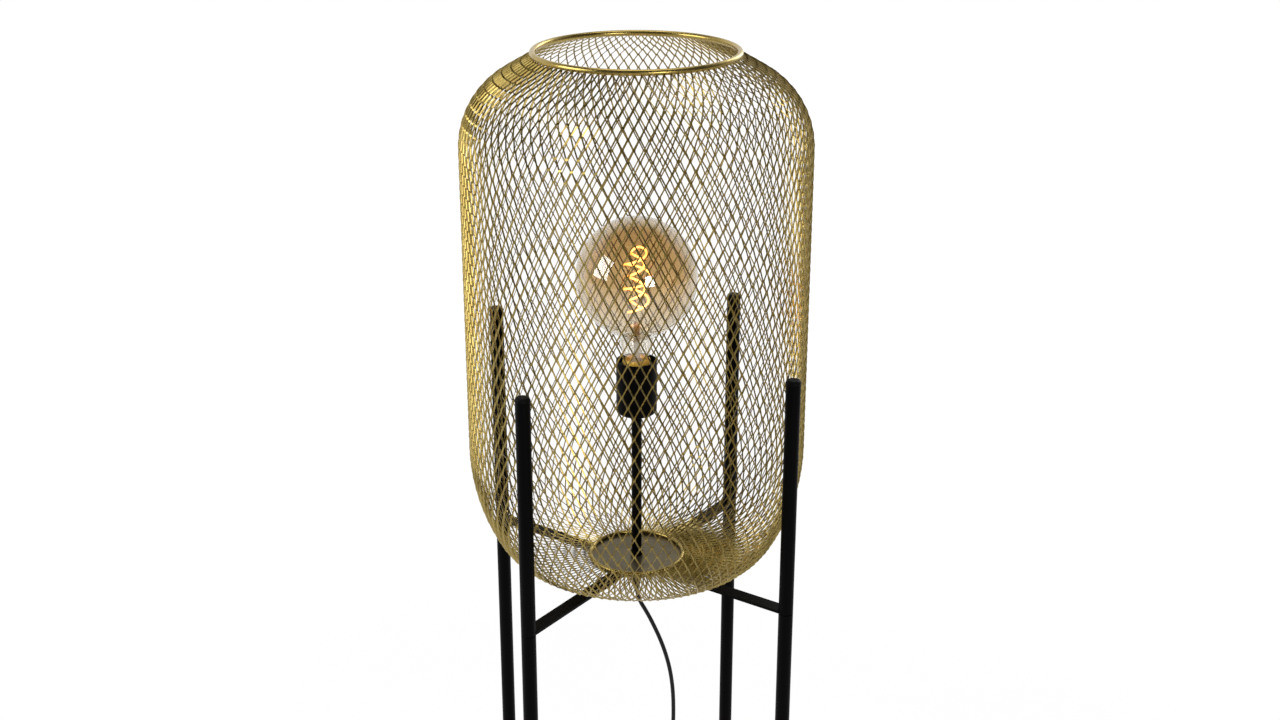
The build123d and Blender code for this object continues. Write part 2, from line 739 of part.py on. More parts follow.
def bend_radii(corners):
    """For each corner of a route, the largest arc that its two runs allow."""
    radii = []
    for before, corner, after in zip(corners, corners[1:], corners[2:]):
        arriving, leaving = corner - before, after - corner
        half_turn = radians(arriving.get_angle(leaving) / 2)
        radii.append(0.45 * min(arriving.length, leaving.length) / tan(half_turn))
    return radii


def cord_section(path):
    """The cord's faceted section, square to the start of its path."""
    with BuildSketch(Plane(path @ 0, z_dir=path % 0)) as section:
        RegularPolygon(cord_radius, CORD_SIDES)
    return section.sketch


def stretch(name, *route):
    """A free stretch of the cord, with its corners rounded as far as its runs allow."""
    corners = [Vector(*place) for place in route]
    radii = bend_radii(corners)
    with BuildLine() as run:
        FilletPolyline(*corners, radius=radii)
    path = run.wires()[0]
    section = cord_section(path)
    with BuildPart() as made:
        sweep(section, path=path)
    print(
        f"{name}: {path.length:.0f} mm long, tightest arc {min(radii):.1f} mm,",
        f"volume over section times length {made.part.volume / section.area / path.length:.4f}",
    )
    save(made.part, name)
    return path.length


# The switch and the plug lie on the floor, and the coil lies on the bottom of its tie.
coil_x, coil_y = COIL_CENTRE
layer_step = CORD_DIAMETER + TURN_GAP
first_layer = TIE_BAND + FIT_GAP + cord_radius
second_layer = first_layer + layer_step
coil_radius = COIL_MID_RADIUS + layer_step * COIL_TURNS / 2
switch_x, switch_y = SWITCH_CENTRE
relief_reach = SWITCH_LENGTH / 2 + RELIEF_LENGTH
plug_x, plug_y = PLUG_END

# Half turns, each from one side of the coil to the other: in, up where it reverses, and out.
half_turns = []
radius_now, height_now = coil_radius, first_layer
for _ in range(2 * COIL_TURNS - 1):
    half_turns.append((radius_now, radius_now - layer_step / 2, height_now, height_now))
    radius_now -= layer_step / 2
inner_radius = radius_now - layer_step / 2 - CLIMB_EASE
half_turns.append((radius_now, inner_radius, first_layer, first_layer))
half_turns.append((inner_radius, inner_radius, first_layer, second_layer))
half_turns.append((inner_radius, radius_now, second_layer, second_layer))
for _ in range(2 * COIL_TURNS - 2):
    half_turns.append((radius_now, radius_now + layer_step / 2, second_layer, second_layer))
    radius_now += layer_step / 2

# The left side of the coil is at the angle where it begins, and the cord winds clockwise.
side = -1
start = Vector(coil_x - coil_radius, coil_y, first_layer)
coil_points = []
with BuildLine() as winding:
    Line(start - Vector(0, CORD_DIAMETER, 0), start)
    for begin, end, low, high in half_turns:
        here = Vector(coil_x + side * begin, coil_y, low)
        there = Vector(coil_x - side * end, coil_y, high)
        middle = (here + there) / 2
        quarter = middle + Vector(0, -side * (there - here).length / 2, 0)
        first = TangentArc(here, quarter, tangent=(0, -side, 0))
        second = TangentArc(quarter, there, tangent=first % 1)
        coil_points += [arc @ (step / 20) for arc in (first, second) for step in range(20)]
        side = -side
    Line(there, there + Vector(0, -side * CORD_DIAMETER, 0))
coil_path = winding.wires()[0]
coil_end = there + Vector(0, -side * CORD_DIAMETER, 0)
apart = min(
    (coil_points[near] - coil_points[far]).length
    for near in range(len(coil_points))
    for far in range(near + 30, len(coil_points))
)
with BuildPart() as cord_coil:
    sweep(cord_section(coil_path), path=coil_path)
print(f"cord_coil: {coil_path.length:.0f} mm long, least gap to itself {apart - CORD_DIAMETER:.2f} mm")
save(cord_coil.part, "cord_coil")

drop_length = stretch(
    "power_cord_drop",
    (0, 0, grip_tip),
    (0, 0, 496),
    (13.5, -2, 472),
    (30, -5, 432),
    (39, -7, 392),
    (41, -7, 344),
    (38, -6, 288),
    (35, -5, 230),
    (37, -5, 170),
    (43, -6, 114),
    (51, -10, 62),
    (61, -18, 27),
    (80, -32, cord_radius + 3 * FLOOR_GAP),
    (99, -51, cord_radius + FLOOR_GAP),
    (100, -76, cord_radius + FLOOR_GAP),
    (82, switch_y, CORD_AXIS_HEIGHT),
    (switch_x + relief_reach, switch_y, CORD_AXIS_HEIGHT),
)
lead_length = stretch(
    "power_cord_lead",
    (switch_x - relief_reach, switch_y, CORD_AXIS_HEIGHT),
    (-98, switch_y, CORD_AXIS_HEIGHT),
    (-117, -76, cord_radius + FLOOR_GAP),
    (-112, -46, cord_radius + FLOOR_GAP),
    (-88, -24, cord_radius + FLOOR_GAP),
    (start.X, -4, first_layer),
    (start.X, start.Y - CORD_DIAMETER, first_layer),
)
tail_length = stretch(
    "power_cord_tail",
    (coil_end.X, coil_end.Y, coil_end.Z),
    (coil_end.X, 52, second_layer),
    (-58, 78, cord_radius + 2 * FLOOR_GAP),
    (-44, 100, cord_radius + FLOOR_GAP),
    (-20, plug_y, CORD_AXIS_HEIGHT),
    (plug_x, plug_y, CORD_AXIS_HEIGHT),
)
print(f"free cord: {drop_length + lead_length + coil_path.length + tail_length:.0f} mm")

# A flat band round the bundle, on the side away from where the coil begins.
bundle_in = inner_radius - cord_radius - TIE_PLAY
bundle_out = coil_radius + cord_radius
bundle_high = second_layer + cord_radius + FIT_GAP
with BuildPart() as cord_tie:
    with BuildSketch(Plane.XZ.offset(-coil_y)):
        with Locations((coil_x + (bundle_in + bundle_out) / 2, (TIE_BAND + bundle_high) / 2)):
            RectangleRounded(
                bundle_out - bundle_in + 2 * TIE_BAND,
                bundle_high - TIE_BAND + 2 * TIE_BAND,
                TIE_CORNER + TIE_BAND,
            )
            RectangleRounded(
                bundle_out - bundle_in, bundle_high - TIE_BAND, TIE_CORNER, mode=Mode.SUBTRACT
            )
    extrude(amount=TIE_WIDTH / 2, both=True)
save(cord_tie.part, "cord_tie")


# ---- Foot switch ---------------------------------------------------------------------------
floor_top = SWITCH_WALL
cover_low = CORD_AXIS_HEIGHT  # the two halves part at the cord's axis
cover_top = SWITCH_HEIGHT
ceiling = cover_top - SWITCH_WALL
at_switch = Location((switch_x, switch_y, 0))


def switch_outline(inset):
    RectangleRounded(
        SWITCH_LENGTH - 2 * inset, SWITCH_WIDTH - 2 * inset, SWITCH_CORNER - inset
    )


# The round ways through both end walls, for the necks of the strain reliefs.
with BuildPart() as neck_ways:
    with BuildSketch(Plane.YZ.offset(switch_x - SWITCH_LENGTH / 2)):
        with Locations((switch_y, CORD_AXIS_HEIGHT)):
            Circle(RELIEF_NECK_DIAMETER / 2 + FIT_GAP)
    extrude(amount=SWITCH_LENGTH)

screw_low = SCREW_SINK + SCREW_HEAD_HEIGHT
screw_top = SCREW_SINK + SCREW_LENGTH
screw_places = [(SCREW_REACH, SCREW_SPREAD), (-SCREW_REACH, -SCREW_SPREAD)]
with BuildPart() as switch_base:
    with BuildSketch(Plane(at_switch)):
        switch_outline(0)
    extrude(amount=cover_low)
    chamfer(switch_base.edges().group_by(Axis.Z)[0], length=COLLAR_CHAMFER)
    with BuildSketch(Plane(at_switch).offset(floor_top)):
        switch_outline(SWITCH_WALL)
    extrude(amount=cover_low, mode=Mode.SUBTRACT)
    with BuildSketch(Plane(at_switch).offset(floor_top)):
        with Locations(*screw_places):
            Circle(BOSS_DIAMETER / 2)
    extrude(amount=cover_low - floor_top)
    with BuildSketch(Plane(at_switch)):
        with Locations(*screw_places):
            Circle(SCREW_DIAMETER / 2 + THREAD_GAP)
    extrude(amount=cover_low, mode=Mode.SUBTRACT)
    with BuildSketch(Plane(at_switch)):
        with Locations(*screw_places):
            Circle(SCREW_HEAD / 2 + FIT_GAP)
    extrude(amount=screw_low, mode=Mode.SUBTRACT)
    add(neck_ways.part, mode=Mode.SUBTRACT)
save(switch_base.part, "switch_base")

with BuildPart() as switch_cover:
    with BuildSketch(Plane(at_switch).offset(cover_low)):
        switch_outline(0)
    extrude(amount=cover_top - cover_low)
    fillet(switch_cover.edges().group_by(Axis.Z)[-1], radius=COVER_EDGE)
    with BuildSketch(Plane(at_switch).offset(cover_low)):
        switch_outline(SWITCH_WALL)
        with Locations(*screw_places):
            Circle(BOSS_DIAMETER / 2, mode=Mode.SUBTRACT)
    extrude(amount=ceiling - cover_low, mode=Mode.SUBTRACT)
    with BuildSketch(Plane(at_switch).offset(cover_low)):
        with Locations(*screw_places):
            Circle(SCREW_DIAMETER / 2 + THREAD_GAP)
    extrude(amount=screw_top + FIT_GAP - cover_low, mode=Mode.SUBTRACT)
    with BuildSketch(Plane(at_switch).offset(cover_top)):
        Circle(BUTTON_DIAMETER / 2 + BUTTON_GAP + SWITCH_WALL)
    extrude(amount=COLLAR_CHAMFER)
    with BuildSketch(Plane(at_switch).offset(cover_low)):
        Circle(BUTTON_DIAMETER / 2 + BUTTON_GAP)
    extrude(amount=SWITCH_HEIGHT, mode=Mode.SUBTRACT)
    add(neck_ways.part, mode=Mode.SUBTRACT)
save(switch_cover.part, "switch_cover")

# The button's flange stops under the cover, and a spring in its hollow pushes it up.
flange_top = ceiling - BUTTON_GAP
flange_low = flange_top - BUTTON_FLANGE
button_top = flange_low + BUTTON_HEIGHT
hollow_top = button_top - BUTTON_CROWN
with BuildPart() as switch_button:
    with BuildSketch(Plane(at_switch).offset(flange_low)):
        Circle(BUTTON_DIAMETER / 2 + BUTTON_LEDGE)
    extrude(amount=BUTTON_FLANGE)
    with BuildSketch(Plane(at_switch).offset(flange_top)):
        Circle(BUTTON_DIAMETER / 2)
    extrude(amount=button_top - flange_top)
    fillet(switch_button.edges().group_by(Axis.Z)[-1], radius=BUTTON_EDGE)
    with BuildSketch(Plane(at_switch).offset(flange_low)):
        Circle((SPRING_DIAMETER + SPRING_WIRE) / 2 + BUTTON_GAP)
    extrude(amount=hollow_top - flange_low, mode=Mode.SUBTRACT)
save(switch_button.part, "switch_button")


block_top = flange_low - BUTTON_TRAVEL - BUTTON_GAP
with BuildPart() as contact_block:
    with BuildSketch(Plane(at_switch).offset(floor_top)):
        Rectangle(BLOCK_LENGTH, BLOCK_WIDTH)
    extrude(amount=block_top - floor_top)
save(contact_block.part, "contact_block")

terminal_x, terminal_y, terminal_z = TERMINAL_BLOCK
with BuildPart() as switch_terminals:
    with BuildSketch(Plane(at_switch).offset(floor_top)):
        with GridLocations(BLOCK_LENGTH + terminal_x, TERMINAL_PITCH, 2, 2):
            Rectangle(terminal_x, terminal_y)
    extrude(amount=terminal_z)
save(switch_terminals.part, "switch_terminals")

spring_low = block_top + SPRING_WIRE / 2
spring_high = hollow_top - FIT_GAP - SPRING_WIRE / 2
with BuildPart() as switch_spring:
    with BuildLine():
        Helix(
            pitch=(spring_high - spring_low) / SPRING_TURNS,
            height=spring_high - spring_low,
            radius=SPRING_DIAMETER / 2,
            center=(switch_x, switch_y, spring_low),
        )
    spring_start = Vector(switch_x + SPRING_DIAMETER / 2, switch_y, spring_low)
    with BuildSketch(Plane(spring_start, z_dir=(0, 1, 0))):
        RegularPolygon(SPRING_WIRE / 2, FILAMENT_SIDES)
    sweep(is_frenet=True)
save(switch_spring.part, "switch_spring")

with BuildPart() as switch_screws:
    with BuildSketch(Plane(at_switch).offset(SCREW_SINK)):
        with Locations(*screw_places):
            Circle(SCREW_HEAD / 2)
    extrude(amount=SCREW_HEAD_HEIGHT)
    with BuildSketch(Plane(at_switch).offset(screw_low)):
        with Locations(*screw_places):
            Circle(SCREW_DIAMETER / 2)
    extrude(amount=screw_top - screw_low)
save(switch_screws.part, "switch_screws")

wall_in = -SWITCH_WALL - FIT_GAP
relief_bore = cord_radius + CORD_CLEARANCE
cord_axis = Axis((switch_x, switch_y, CORD_AXIS_HEIGHT), (1, 0, 0))
for side_name, way in (("lamp", 1), ("plug", -1)):
    with BuildPart() as relief:
        end = Plane(
            (switch_x + way * SWITCH_LENGTH / 2, switch_y, CORD_AXIS_HEIGHT),
            x_dir=(way, 0, 0),
            z_dir=(0, -way, 0),
        )
        with BuildSketch(end):
            with BuildLine():
                Polyline(
                    (wall_in - RELIEF_FLANGE, relief_bore),
                    (wall_in - RELIEF_FLANGE, RELIEF_FLANGE_DIAMETER / 2),
                    (wall_in, RELIEF_FLANGE_DIAMETER / 2),
                    (wall_in, RELIEF_NECK_DIAMETER / 2),
                    (FIT_GAP, RELIEF_NECK_DIAMETER / 2),
                    (FIT_GAP, RELIEF_ROOT_DIAMETER / 2),
                    (RELIEF_LENGTH, RELIEF_TIP_DIAMETER / 2),
                    (RELIEF_LENGTH, relief_bore),
                    close=True,
                )
            make_face()
        revolve(axis=cord_axis)
    save(relief.part, f"switch_relief_{side_name}_side")

lead_end = BLOCK_LENGTH / 2 + terminal_x
with BuildPart() as switch_leads:
    for way in (1, -1):
        with BuildSketch(Plane.YZ.offset(switch_x + way * lead_end)):
            with Locations((switch_y, CORD_AXIS_HEIGHT)):
                Circle(cord_radius)
        extrude(amount=way * (relief_reach - lead_end))
save(switch_leads.part, "switch_leads")


# ---- Plug ----------------------------------------------------------------------------------
plug_root = plug_x + PLUG_RELIEF
plug_face = plug_root + PLUG_LENGTH
with BuildPart() as plug_body:
    with BuildSketch():
        with BuildLine():
            Polyline(
                (plug_root, plug_y - PLUG_NECK / 2),
                (plug_root + PLUG_TAPER, plug_y - PLUG_WIDTH / 2),
                (plug_face, plug_y - PLUG_WIDTH / 2),
                (plug_face, plug_y + PLUG_WIDTH / 2),
                (plug_root + PLUG_TAPER, plug_y + PLUG_WIDTH / 2),
                (plug_root, plug_y + PLUG_NECK / 2),
                close=True,
            )
        make_face()
    extrude(amount=2 * CORD_AXIS_HEIGHT)
    fillet(plug_body.edges().filter_by(Axis.Z), radius=PLUG_EDGE)
    ends = plug_body.edges().group_by(Axis.Z)
    chamfer(ends[0] + ends[-1], length=COLLAR_CHAMFER)
    with BuildSketch(Plane.XZ.offset(-plug_y)):
        with BuildLine():
            Polyline(
                (plug_x, CORD_AXIS_HEIGHT),
                (plug_x, CORD_AXIS_HEIGHT + RELIEF_TIP_DIAMETER / 2),
                (plug_root + COLLAR_CHAMFER, CORD_AXIS_HEIGHT + RELIEF_ROOT_DIAMETER / 2),
                (plug_root + COLLAR_CHAMFER, CORD_AXIS_HEIGHT),
                close=True,
            )
        make_face()
    revolve(axis=Axis((plug_x, plug_y, CORD_AXIS_HEIGHT), (1, 0, 0)))
    with BuildSketch(Plane.YZ.offset(plug_face)):
        with Locations((plug_y, CORD_AXIS_HEIGHT)):
            with GridLocations(PIN_SPREAD, 0, 2, 1):
                Circle(PIN_DIAMETER / 2 + THREAD_GAP)
    extrude(amount=-PIN_DEPTH, mode=Mode.SUBTRACT)
save(plug_body.part, "plug_body")

with BuildPart() as plug_pins:
    with BuildSketch(Plane.YZ.offset(plug_face - PIN_DEPTH)):
        with Locations((plug_y, CORD_AXIS_HEIGHT)):
            with GridLocations(PIN_SPREAD, 0, 2, 1):
                Circle(PIN_DIAMETER / 2)
    extrude(amount=PIN_DEPTH + PIN_LENGTH)
    fillet(plug_pins.edges().group_by(Axis.X)[-1], radius=PIN_DIAMETER / 4)
save(plug_pins.part, "plug_pins")
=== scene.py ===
# %% [markdown]
# # A floor lamp with a cage of expanded metal
# The lamp is a tall barrel of gold expanded metal. Four thin black posts hold it, and a globe bulb
# glows on a stem inside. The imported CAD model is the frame: it gives every size and place, and this
# script gives the looks. Each cell makes one piece or one finish, and says how and why.

# %% Tools and the frame
import json
from math import cos, pi, radians, sin

import bmesh
import bpy
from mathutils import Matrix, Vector


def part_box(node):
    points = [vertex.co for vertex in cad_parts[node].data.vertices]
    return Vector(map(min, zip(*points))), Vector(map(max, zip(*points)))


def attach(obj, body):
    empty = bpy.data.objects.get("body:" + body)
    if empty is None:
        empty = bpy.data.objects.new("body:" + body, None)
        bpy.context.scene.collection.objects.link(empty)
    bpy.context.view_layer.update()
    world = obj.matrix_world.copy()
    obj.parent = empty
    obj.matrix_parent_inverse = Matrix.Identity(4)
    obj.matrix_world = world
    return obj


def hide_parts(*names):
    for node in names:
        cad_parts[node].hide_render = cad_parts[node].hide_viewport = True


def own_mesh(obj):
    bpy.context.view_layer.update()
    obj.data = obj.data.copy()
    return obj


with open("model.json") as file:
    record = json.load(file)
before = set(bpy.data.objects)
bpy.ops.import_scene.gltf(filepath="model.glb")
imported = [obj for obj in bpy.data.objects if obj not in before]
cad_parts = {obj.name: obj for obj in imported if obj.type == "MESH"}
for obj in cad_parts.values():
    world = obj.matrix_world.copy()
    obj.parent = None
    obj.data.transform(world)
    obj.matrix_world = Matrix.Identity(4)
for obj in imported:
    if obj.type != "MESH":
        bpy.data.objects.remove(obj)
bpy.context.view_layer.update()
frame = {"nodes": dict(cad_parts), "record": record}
nodes = frame["nodes"]

# %% [markdown]
# ## The camera
# The photograph looks down at the lamp from a little to its left. Where the ellipse of the top hoop
# sits and how flat it is give the angle and the distance, and the shade's width gives the lens.

# %% The camera
CAMERA_PLACE = Vector((-0.2809, -1.6507, 1.4114))
CAMERA_TARGET = Vector((0.0035, -0.0006, 0.7717))
FOCAL_PIXELS = 1734.2  # focal length in pixels of a picture 1280 wide
PICTURE_WIDTH = 1280
SENSOR_WIDTH = 36.0  # mm


def linked(name, data):
    """A new object in the scene, made of a mesh, a curve, a camera or a lamp."""
    made = bpy.data.objects.new(name, data)
    bpy.context.scene.collection.objects.link(made)
    return made


def aim(thing, place, target):
    """Put a camera or a lamp at a place and turn it towards a target."""
    thing.location = place
    thing.rotation_euler = (target - place).to_track_quat("-Z", "Y").to_euler()


camera_data = bpy.data.cameras.new("camera")
camera_data.sensor_width = SENSOR_WIDTH
camera_data.lens = FOCAL_PIXELS / PICTURE_WIDTH * SENSOR_WIDTH
camera = linked("camera", camera_data)
aim(camera, CAMERA_PLACE, CAMERA_TARGET)
bpy.context.scene.camera = camera
bpy.context.scene.view_settings.view_transform = "Standard"
print("lens", round(camera_data.lens, 2), "mm")

# %% [markdown]
# ## The studio
# The photograph has a plain white background. The floor and the sky show the camera and glass a
# white of strength 1, so they are white without more light on the lamp. Mirror-like surfaces see
# the same white behind the lamp, and a darker studio in front of it, where a photographer stands.
# That is what makes the front of the gold wire olive and leaves its sides bright. The ceiling is
# dark too, because the photographed bulb is dark amber near its top. A share of the floor stays a
# plain diffuse surface near the lamp, and that share keeps the shadow.

# %% Helpers for shader and geometry trees


def add_node(tree, kind, inputs=None, **settings):
    """Add a node. An input is a number, a colour or a socket of another node."""
    made = tree.nodes.new(kind)
    for name, value in settings.items():
        setattr(made, name, value)
    for key, value in (inputs or {}).items():
        if isinstance(value, bpy.types.NodeSocket):
            tree.links.new(value, made.inputs[key])
        else:
            made.inputs[key].default_value = value
    return made


def computed(tree, operation, *values, **settings):
    """The result of one Math node on numbers or sockets."""
    inputs = dict(enumerate(values))
    return add_node(tree, "ShaderNodeMath", inputs, operation=operation, **settings).outputs[0]


def ramped(tree, value, begin, end, low=0.0, high=1.0, shape="LINEAR"):
    """Goes from low to high while a value goes from begin to end, and stays within both."""
    limits = {"From Min": begin, "From Max": end, "To Min": low, "To Max": high}
    return add_node(
        tree, "ShaderNodeMapRange", {"Value": value} | limits, interpolation_type=shape
    ).outputs[0]


# %% What the camera, glass and mirrors see of the studio
SKY_LIGHT = 0.32  # what the studio gives to diffuse surfaces
DARK_FRONT = 0.06  # what mirrors see in front of the lamp
DARK_CEILING = 0.12  # share of the white that mirrors see overhead
CEILING_FROM, CEILING_TO = 0.45, 0.85  # sine of the height where the ceiling begins and is dark


def white_seen(tree, place, dark_from, white_from, unlit):
    """1 for the camera and glass, a ramp from front to back for mirrors, or unlit for the rest."""
    path = add_node(tree, "ShaderNodeLightPath").outputs
    where = add_node(tree, "ShaderNodeTexCoord").outputs[place]
    split = add_node(tree, "ShaderNodeSeparateXYZ", {0: where}).outputs
    backwards = ramped(tree, split["Y"], dark_from, white_from, DARK_FRONT, 1.0, "SMOOTHSTEP")
    ceiling = ramped(tree, split["Z"], CEILING_FROM, CEILING_TO, 1.0, DARK_CEILING, "SMOOTHSTEP")
    mirrored = computed(tree, "MULTIPLY", backwards, ceiling)
    direct = computed(tree, "MAXIMUM", path["Is Camera Ray"], path["Is Transmission Ray"])
    not_direct = add_node(
        tree, "ShaderNodeMix", {0: path["Is Glossy Ray"], 2: unlit, 3: mirrored}
    ).outputs[0]
    return add_node(tree, "ShaderNodeMix", {0: direct, 2: not_direct, 3: 1.0}).outputs[0]


# %% The floor
FLOOR_SIZE = 12.0
FLOOR_GLOW = 1.04  # strength of the white that the camera sees
NEAR_GLOW = 0.86  # share of the floor that is plain white to the camera, under the lamp
NEAR, FAR = 0.7, 1.9  # beyond the far distance all of the floor is plain white
FLOOR_DARK_Y, FLOOR_WHITE_Y = -1.4, 0.5  # to mirrors the floor turns white between these

floor_material = bpy.data.materials.new("studio floor")
floor_material.use_nodes = True
tree = floor_material.node_tree
tree.nodes.clear()
paper = add_node(tree, "ShaderNodeBsdfDiffuse", {"Color": (0.9, 0.9, 0.9, 1)})
glow = add_node(tree, "ShaderNodeEmission", {"Color": (1, 1, 1, 1), "Strength": FLOOR_GLOW})
floor_place = add_node(tree, "ShaderNodeTexCoord").outputs["Object"]
distance = add_node(tree, "ShaderNodeVectorMath", {0: floor_place}, operation="LENGTH")
whiter = ramped(tree, distance.outputs["Value"], NEAR, FAR, NEAR_GLOW, 1.0, "SMOOTHSTEP")
white = white_seen(tree, "Object", FLOOR_DARK_Y, FLOOR_WHITE_Y, 0.0)
mixed = add_node(
    tree,
    "ShaderNodeMixShader",
    {0: computed(tree, "MULTIPLY", white, whiter), 1: paper.outputs[0], 2: glow.outputs[0]},
)
add_node(tree, "ShaderNodeOutputMaterial", {"Surface": mixed.outputs[0]})

bpy.ops.mesh.primitive_plane_add(size=FLOOR_SIZE)
floor = bpy.context.object
floor.name = "studio_floor"
floor.data.materials.append(floor_material)

# %% The sky
SKY_DARK_Y, SKY_WHITE_Y = -0.25, 0.85  # to mirrors the sky turns white between these

world = bpy.data.worlds.new("studio")
bpy.context.scene.world = world
world.use_nodes = True
tree = world.node_tree
tree.nodes.clear()
white = white_seen(tree, "Generated", SKY_DARK_Y, SKY_WHITE_Y, SKY_LIGHT)
sky = add_node(tree, "ShaderNodeBackground", {"Color": (1, 1, 1, 1), "Strength": white})
add_node(tree, "ShaderNodeOutputWorld", {"Surface": sky.outputs[0]})

# %% [markdown]
# The two white squares on the bulb are mirror images of two softboxes. A mirror image on a sphere
# lies where the surface faces halfway between the camera and the lamp, so the squares tell where
# the softboxes stood: one at the left, and one low beside the camera. Two soft panels, above and at
# the right, light the gold inside the cage. The photograph shows no image of them on the glass, so
# light linking keeps them off it.

# %% The lamps
LAMP_TARGET = Vector((0, 0, 0.86))
LAMPS = {  # place, width and height in metres, power in watts, and whether glass mirrors it
    "softbox_left": ((-2.05, -0.30, 1.65), 1.25, 1.35, 27, True),
    "softbox_front": ((0.70, -2.55, 1.26), 0.8, 0.9, 20, True),
    "panel_right": ((1.7, 1.7, 1.8), 1.0, 1.4, 16, False),
    "panel_above": ((0.1, 0.3, 2.9), 1.5, 1.2, 13, False),
}
unlit_glass = bpy.data.collections.new("glass_without_panels")
unlit_glass.objects.link(nodes["bulb_glass"])
unlit_glass.collection_objects[0].light_linking.link_state = "EXCLUDE"
for name, (place, width, height, power, mirrored) in LAMPS.items():
    lamp_data = bpy.data.lights.new(name, "AREA")
    lamp_data.shape = "RECTANGLE"
    lamp_data.size = width
    lamp_data.size_y = height
    lamp_data.energy = power
    lamp = linked(name, lamp_data)
    lamp.visible_transmission = mirrored
    if not mirrored:
        lamp.light_linking.receiver_collection = unlit_glass
    aim(lamp, Vector(place), LAMP_TARGET)
print(len(LAMPS), "lamps")

# %% [markdown]
# ## The finishes
# Every finish is one Principled shader with small procedural variation: a noise in the roughness,
# where hands and dust have been, and a fine bump for the skin of the paint or the plastic. The
# patterns read Object coordinates in metres, so their scale is a real size.

# %% Helpers for finishes
NOISE_LOW, NOISE_HIGH = 0.3, 0.7  # nearly all values of a noise lie between these


def finish(name, colour, roughness, metallic=0.0, **fixed):
    """A Principled material. Fixed values go to the shader's own sockets."""
    made = bpy.data.materials.new(name)
    made.use_nodes = True
    shader = made.node_tree.nodes["Principled BSDF"]
    shader.inputs["Base Color"].default_value = (*colour, 1)
    shader.inputs["Roughness"].default_value = roughness
    shader.inputs["Metallic"].default_value = metallic
    for key, value in fixed.items():
        shader.inputs[key.replace("_", " ")].default_value = value
    return made


def drive(material, socket, value):
    """Let another node give a value to the Principled shader."""
    tree = material.node_tree
    tree.links.new(value, tree.nodes["Principled BSDF"].inputs[socket])


def noise(material, size, detail=3.0):
    """A noise with grains of a size in metres. Gives the socket of its value."""
    tree = material.node_tree
    where = add_node(tree, "ShaderNodeTexCoord").outputs["Object"]
    return add_node(
        tree, "ShaderNodeTexNoise", {"Vector": where, "Scale": 1 / size, "Detail": detail}
    ).outputs[0]


def coloured(tree, value, *stops):
    """A colour that follows a value from stop to stop. Each stop is a position and a colour."""
    ramp = add_node(tree, "ShaderNodeValToRGB", {0: value})
    elements = ramp.color_ramp.elements
    for element, (position, colour) in zip(elements, (stops[0], stops[-1])):
        element.position = position
        element.color = (*colour, 1)
    for position, colour in stops[1:-1]:
        elements.new(position).color = (*colour, 1)
    return ramp.outputs[0]


def vary(material, socket, value, low, high):
    """Let a noise drive a number of the shader between two limits."""
    spread = ramped(material.node_tree, value, NOISE_LOW, NOISE_HIGH, low, high)
    drive(material, socket, spread)


def tint(material, value, low, high):
    """Let a noise, or another value from 0 to 1, drive the base colour between two colours."""
    stops = (NOISE_LOW, low), (NOISE_HIGH, high)
    drive(material, "Base Color", coloured(material.node_tree, value, *stops))


def bump(material, height, depth):
    """Let a height between 0 and 1 raise the surface by a depth in metres."""
    raised = add_node(
        material.node_tree,
        "ShaderNodeBump",
        {"Height": height, "Distance": depth, "Strength": 1.0},
    )
    drive(material, "Normal", raised.outputs[0])


# %% [markdown]
# The stand is steel with black powder paint: nearly black, satin, with a faint orange peel.

# %% Black paint
black_paint = finish("black powder paint", (0.0015, 0.0014, 0.0014), 0.4, Specular_IOR_Level=0.04)
vary(black_paint, "Roughness", noise(black_paint, 0.03), 0.34, 0.48)
bump(black_paint, noise(black_paint, 0.0012, 2.0), 0.00003)

# %% [markdown]
# The cage and its hoops have gold paint with metal flakes. It is yellow where light falls on it and
# olive in the shade, so it is nearly all metallic, with a slow change of tone along the wire. The
# hoops get a smoother copy of that paint in a lighter tone, and the lighter tone is painted light.
# The satin disc under the cage is darker: partly its own satin tone, partly painted shade.

# %% Gold paint, the hoops' copy with painted light, and the satin disc with painted shade
gold_paint = finish("gold paint", (0.32, 0.235, 0.065), 0.34, 0.9)
tint(gold_paint, noise(gold_paint, 0.02), (0.26, 0.185, 0.045), (0.40, 0.30, 0.09))
vary(gold_paint, "Roughness", noise(gold_paint, 0.004), 0.22, 0.36)
bump(gold_paint, noise(gold_paint, 0.0005, 2.0), 0.00002)

# painted light: the same gold paint in a lighter tone, for the light that falls on the hoops; it is
# also smoother
hoop_gold_painted_light = finish("gold paint on the hoops, lighter as painted light", (0.44, 0.33, 0.10), 0.28, 0.95)
tint(hoop_gold_painted_light, noise(hoop_gold_painted_light, 0.02), (0.38, 0.275, 0.075), (0.48, 0.36, 0.11))
vary(hoop_gold_painted_light, "Roughness", noise(hoop_gold_painted_light, 0.006), 0.2, 0.32)
bump(hoop_gold_painted_light, noise(hoop_gold_painted_light, 0.0008, 2.0), 0.00002)

# partly painted shade: the disc is darker than the gold paint, partly its own satin tone and partly
# the shade under the cage
disc_metal = finish("satin disc with painted shade", (0.16, 0.13, 0.07), 0.32, 0.85)
vary(disc_metal, "Roughness", noise(disc_metal, 0.012), 0.26, 0.38)
tint(disc_metal, noise(disc_metal, 0.03), (0.135, 0.11, 0.06), (0.18, 0.15, 0.085))

# %% Plastics
black_plastic = finish("black plastic", (0.002, 0.002, 0.002), 0.46, Specular_IOR_Level=0.1)
vary(black_plastic, "Roughness", noise(black_plastic, 0.01), 0.45, 0.6)
bump(black_plastic, noise(black_plastic, 0.0006, 2.0), 0.00003)

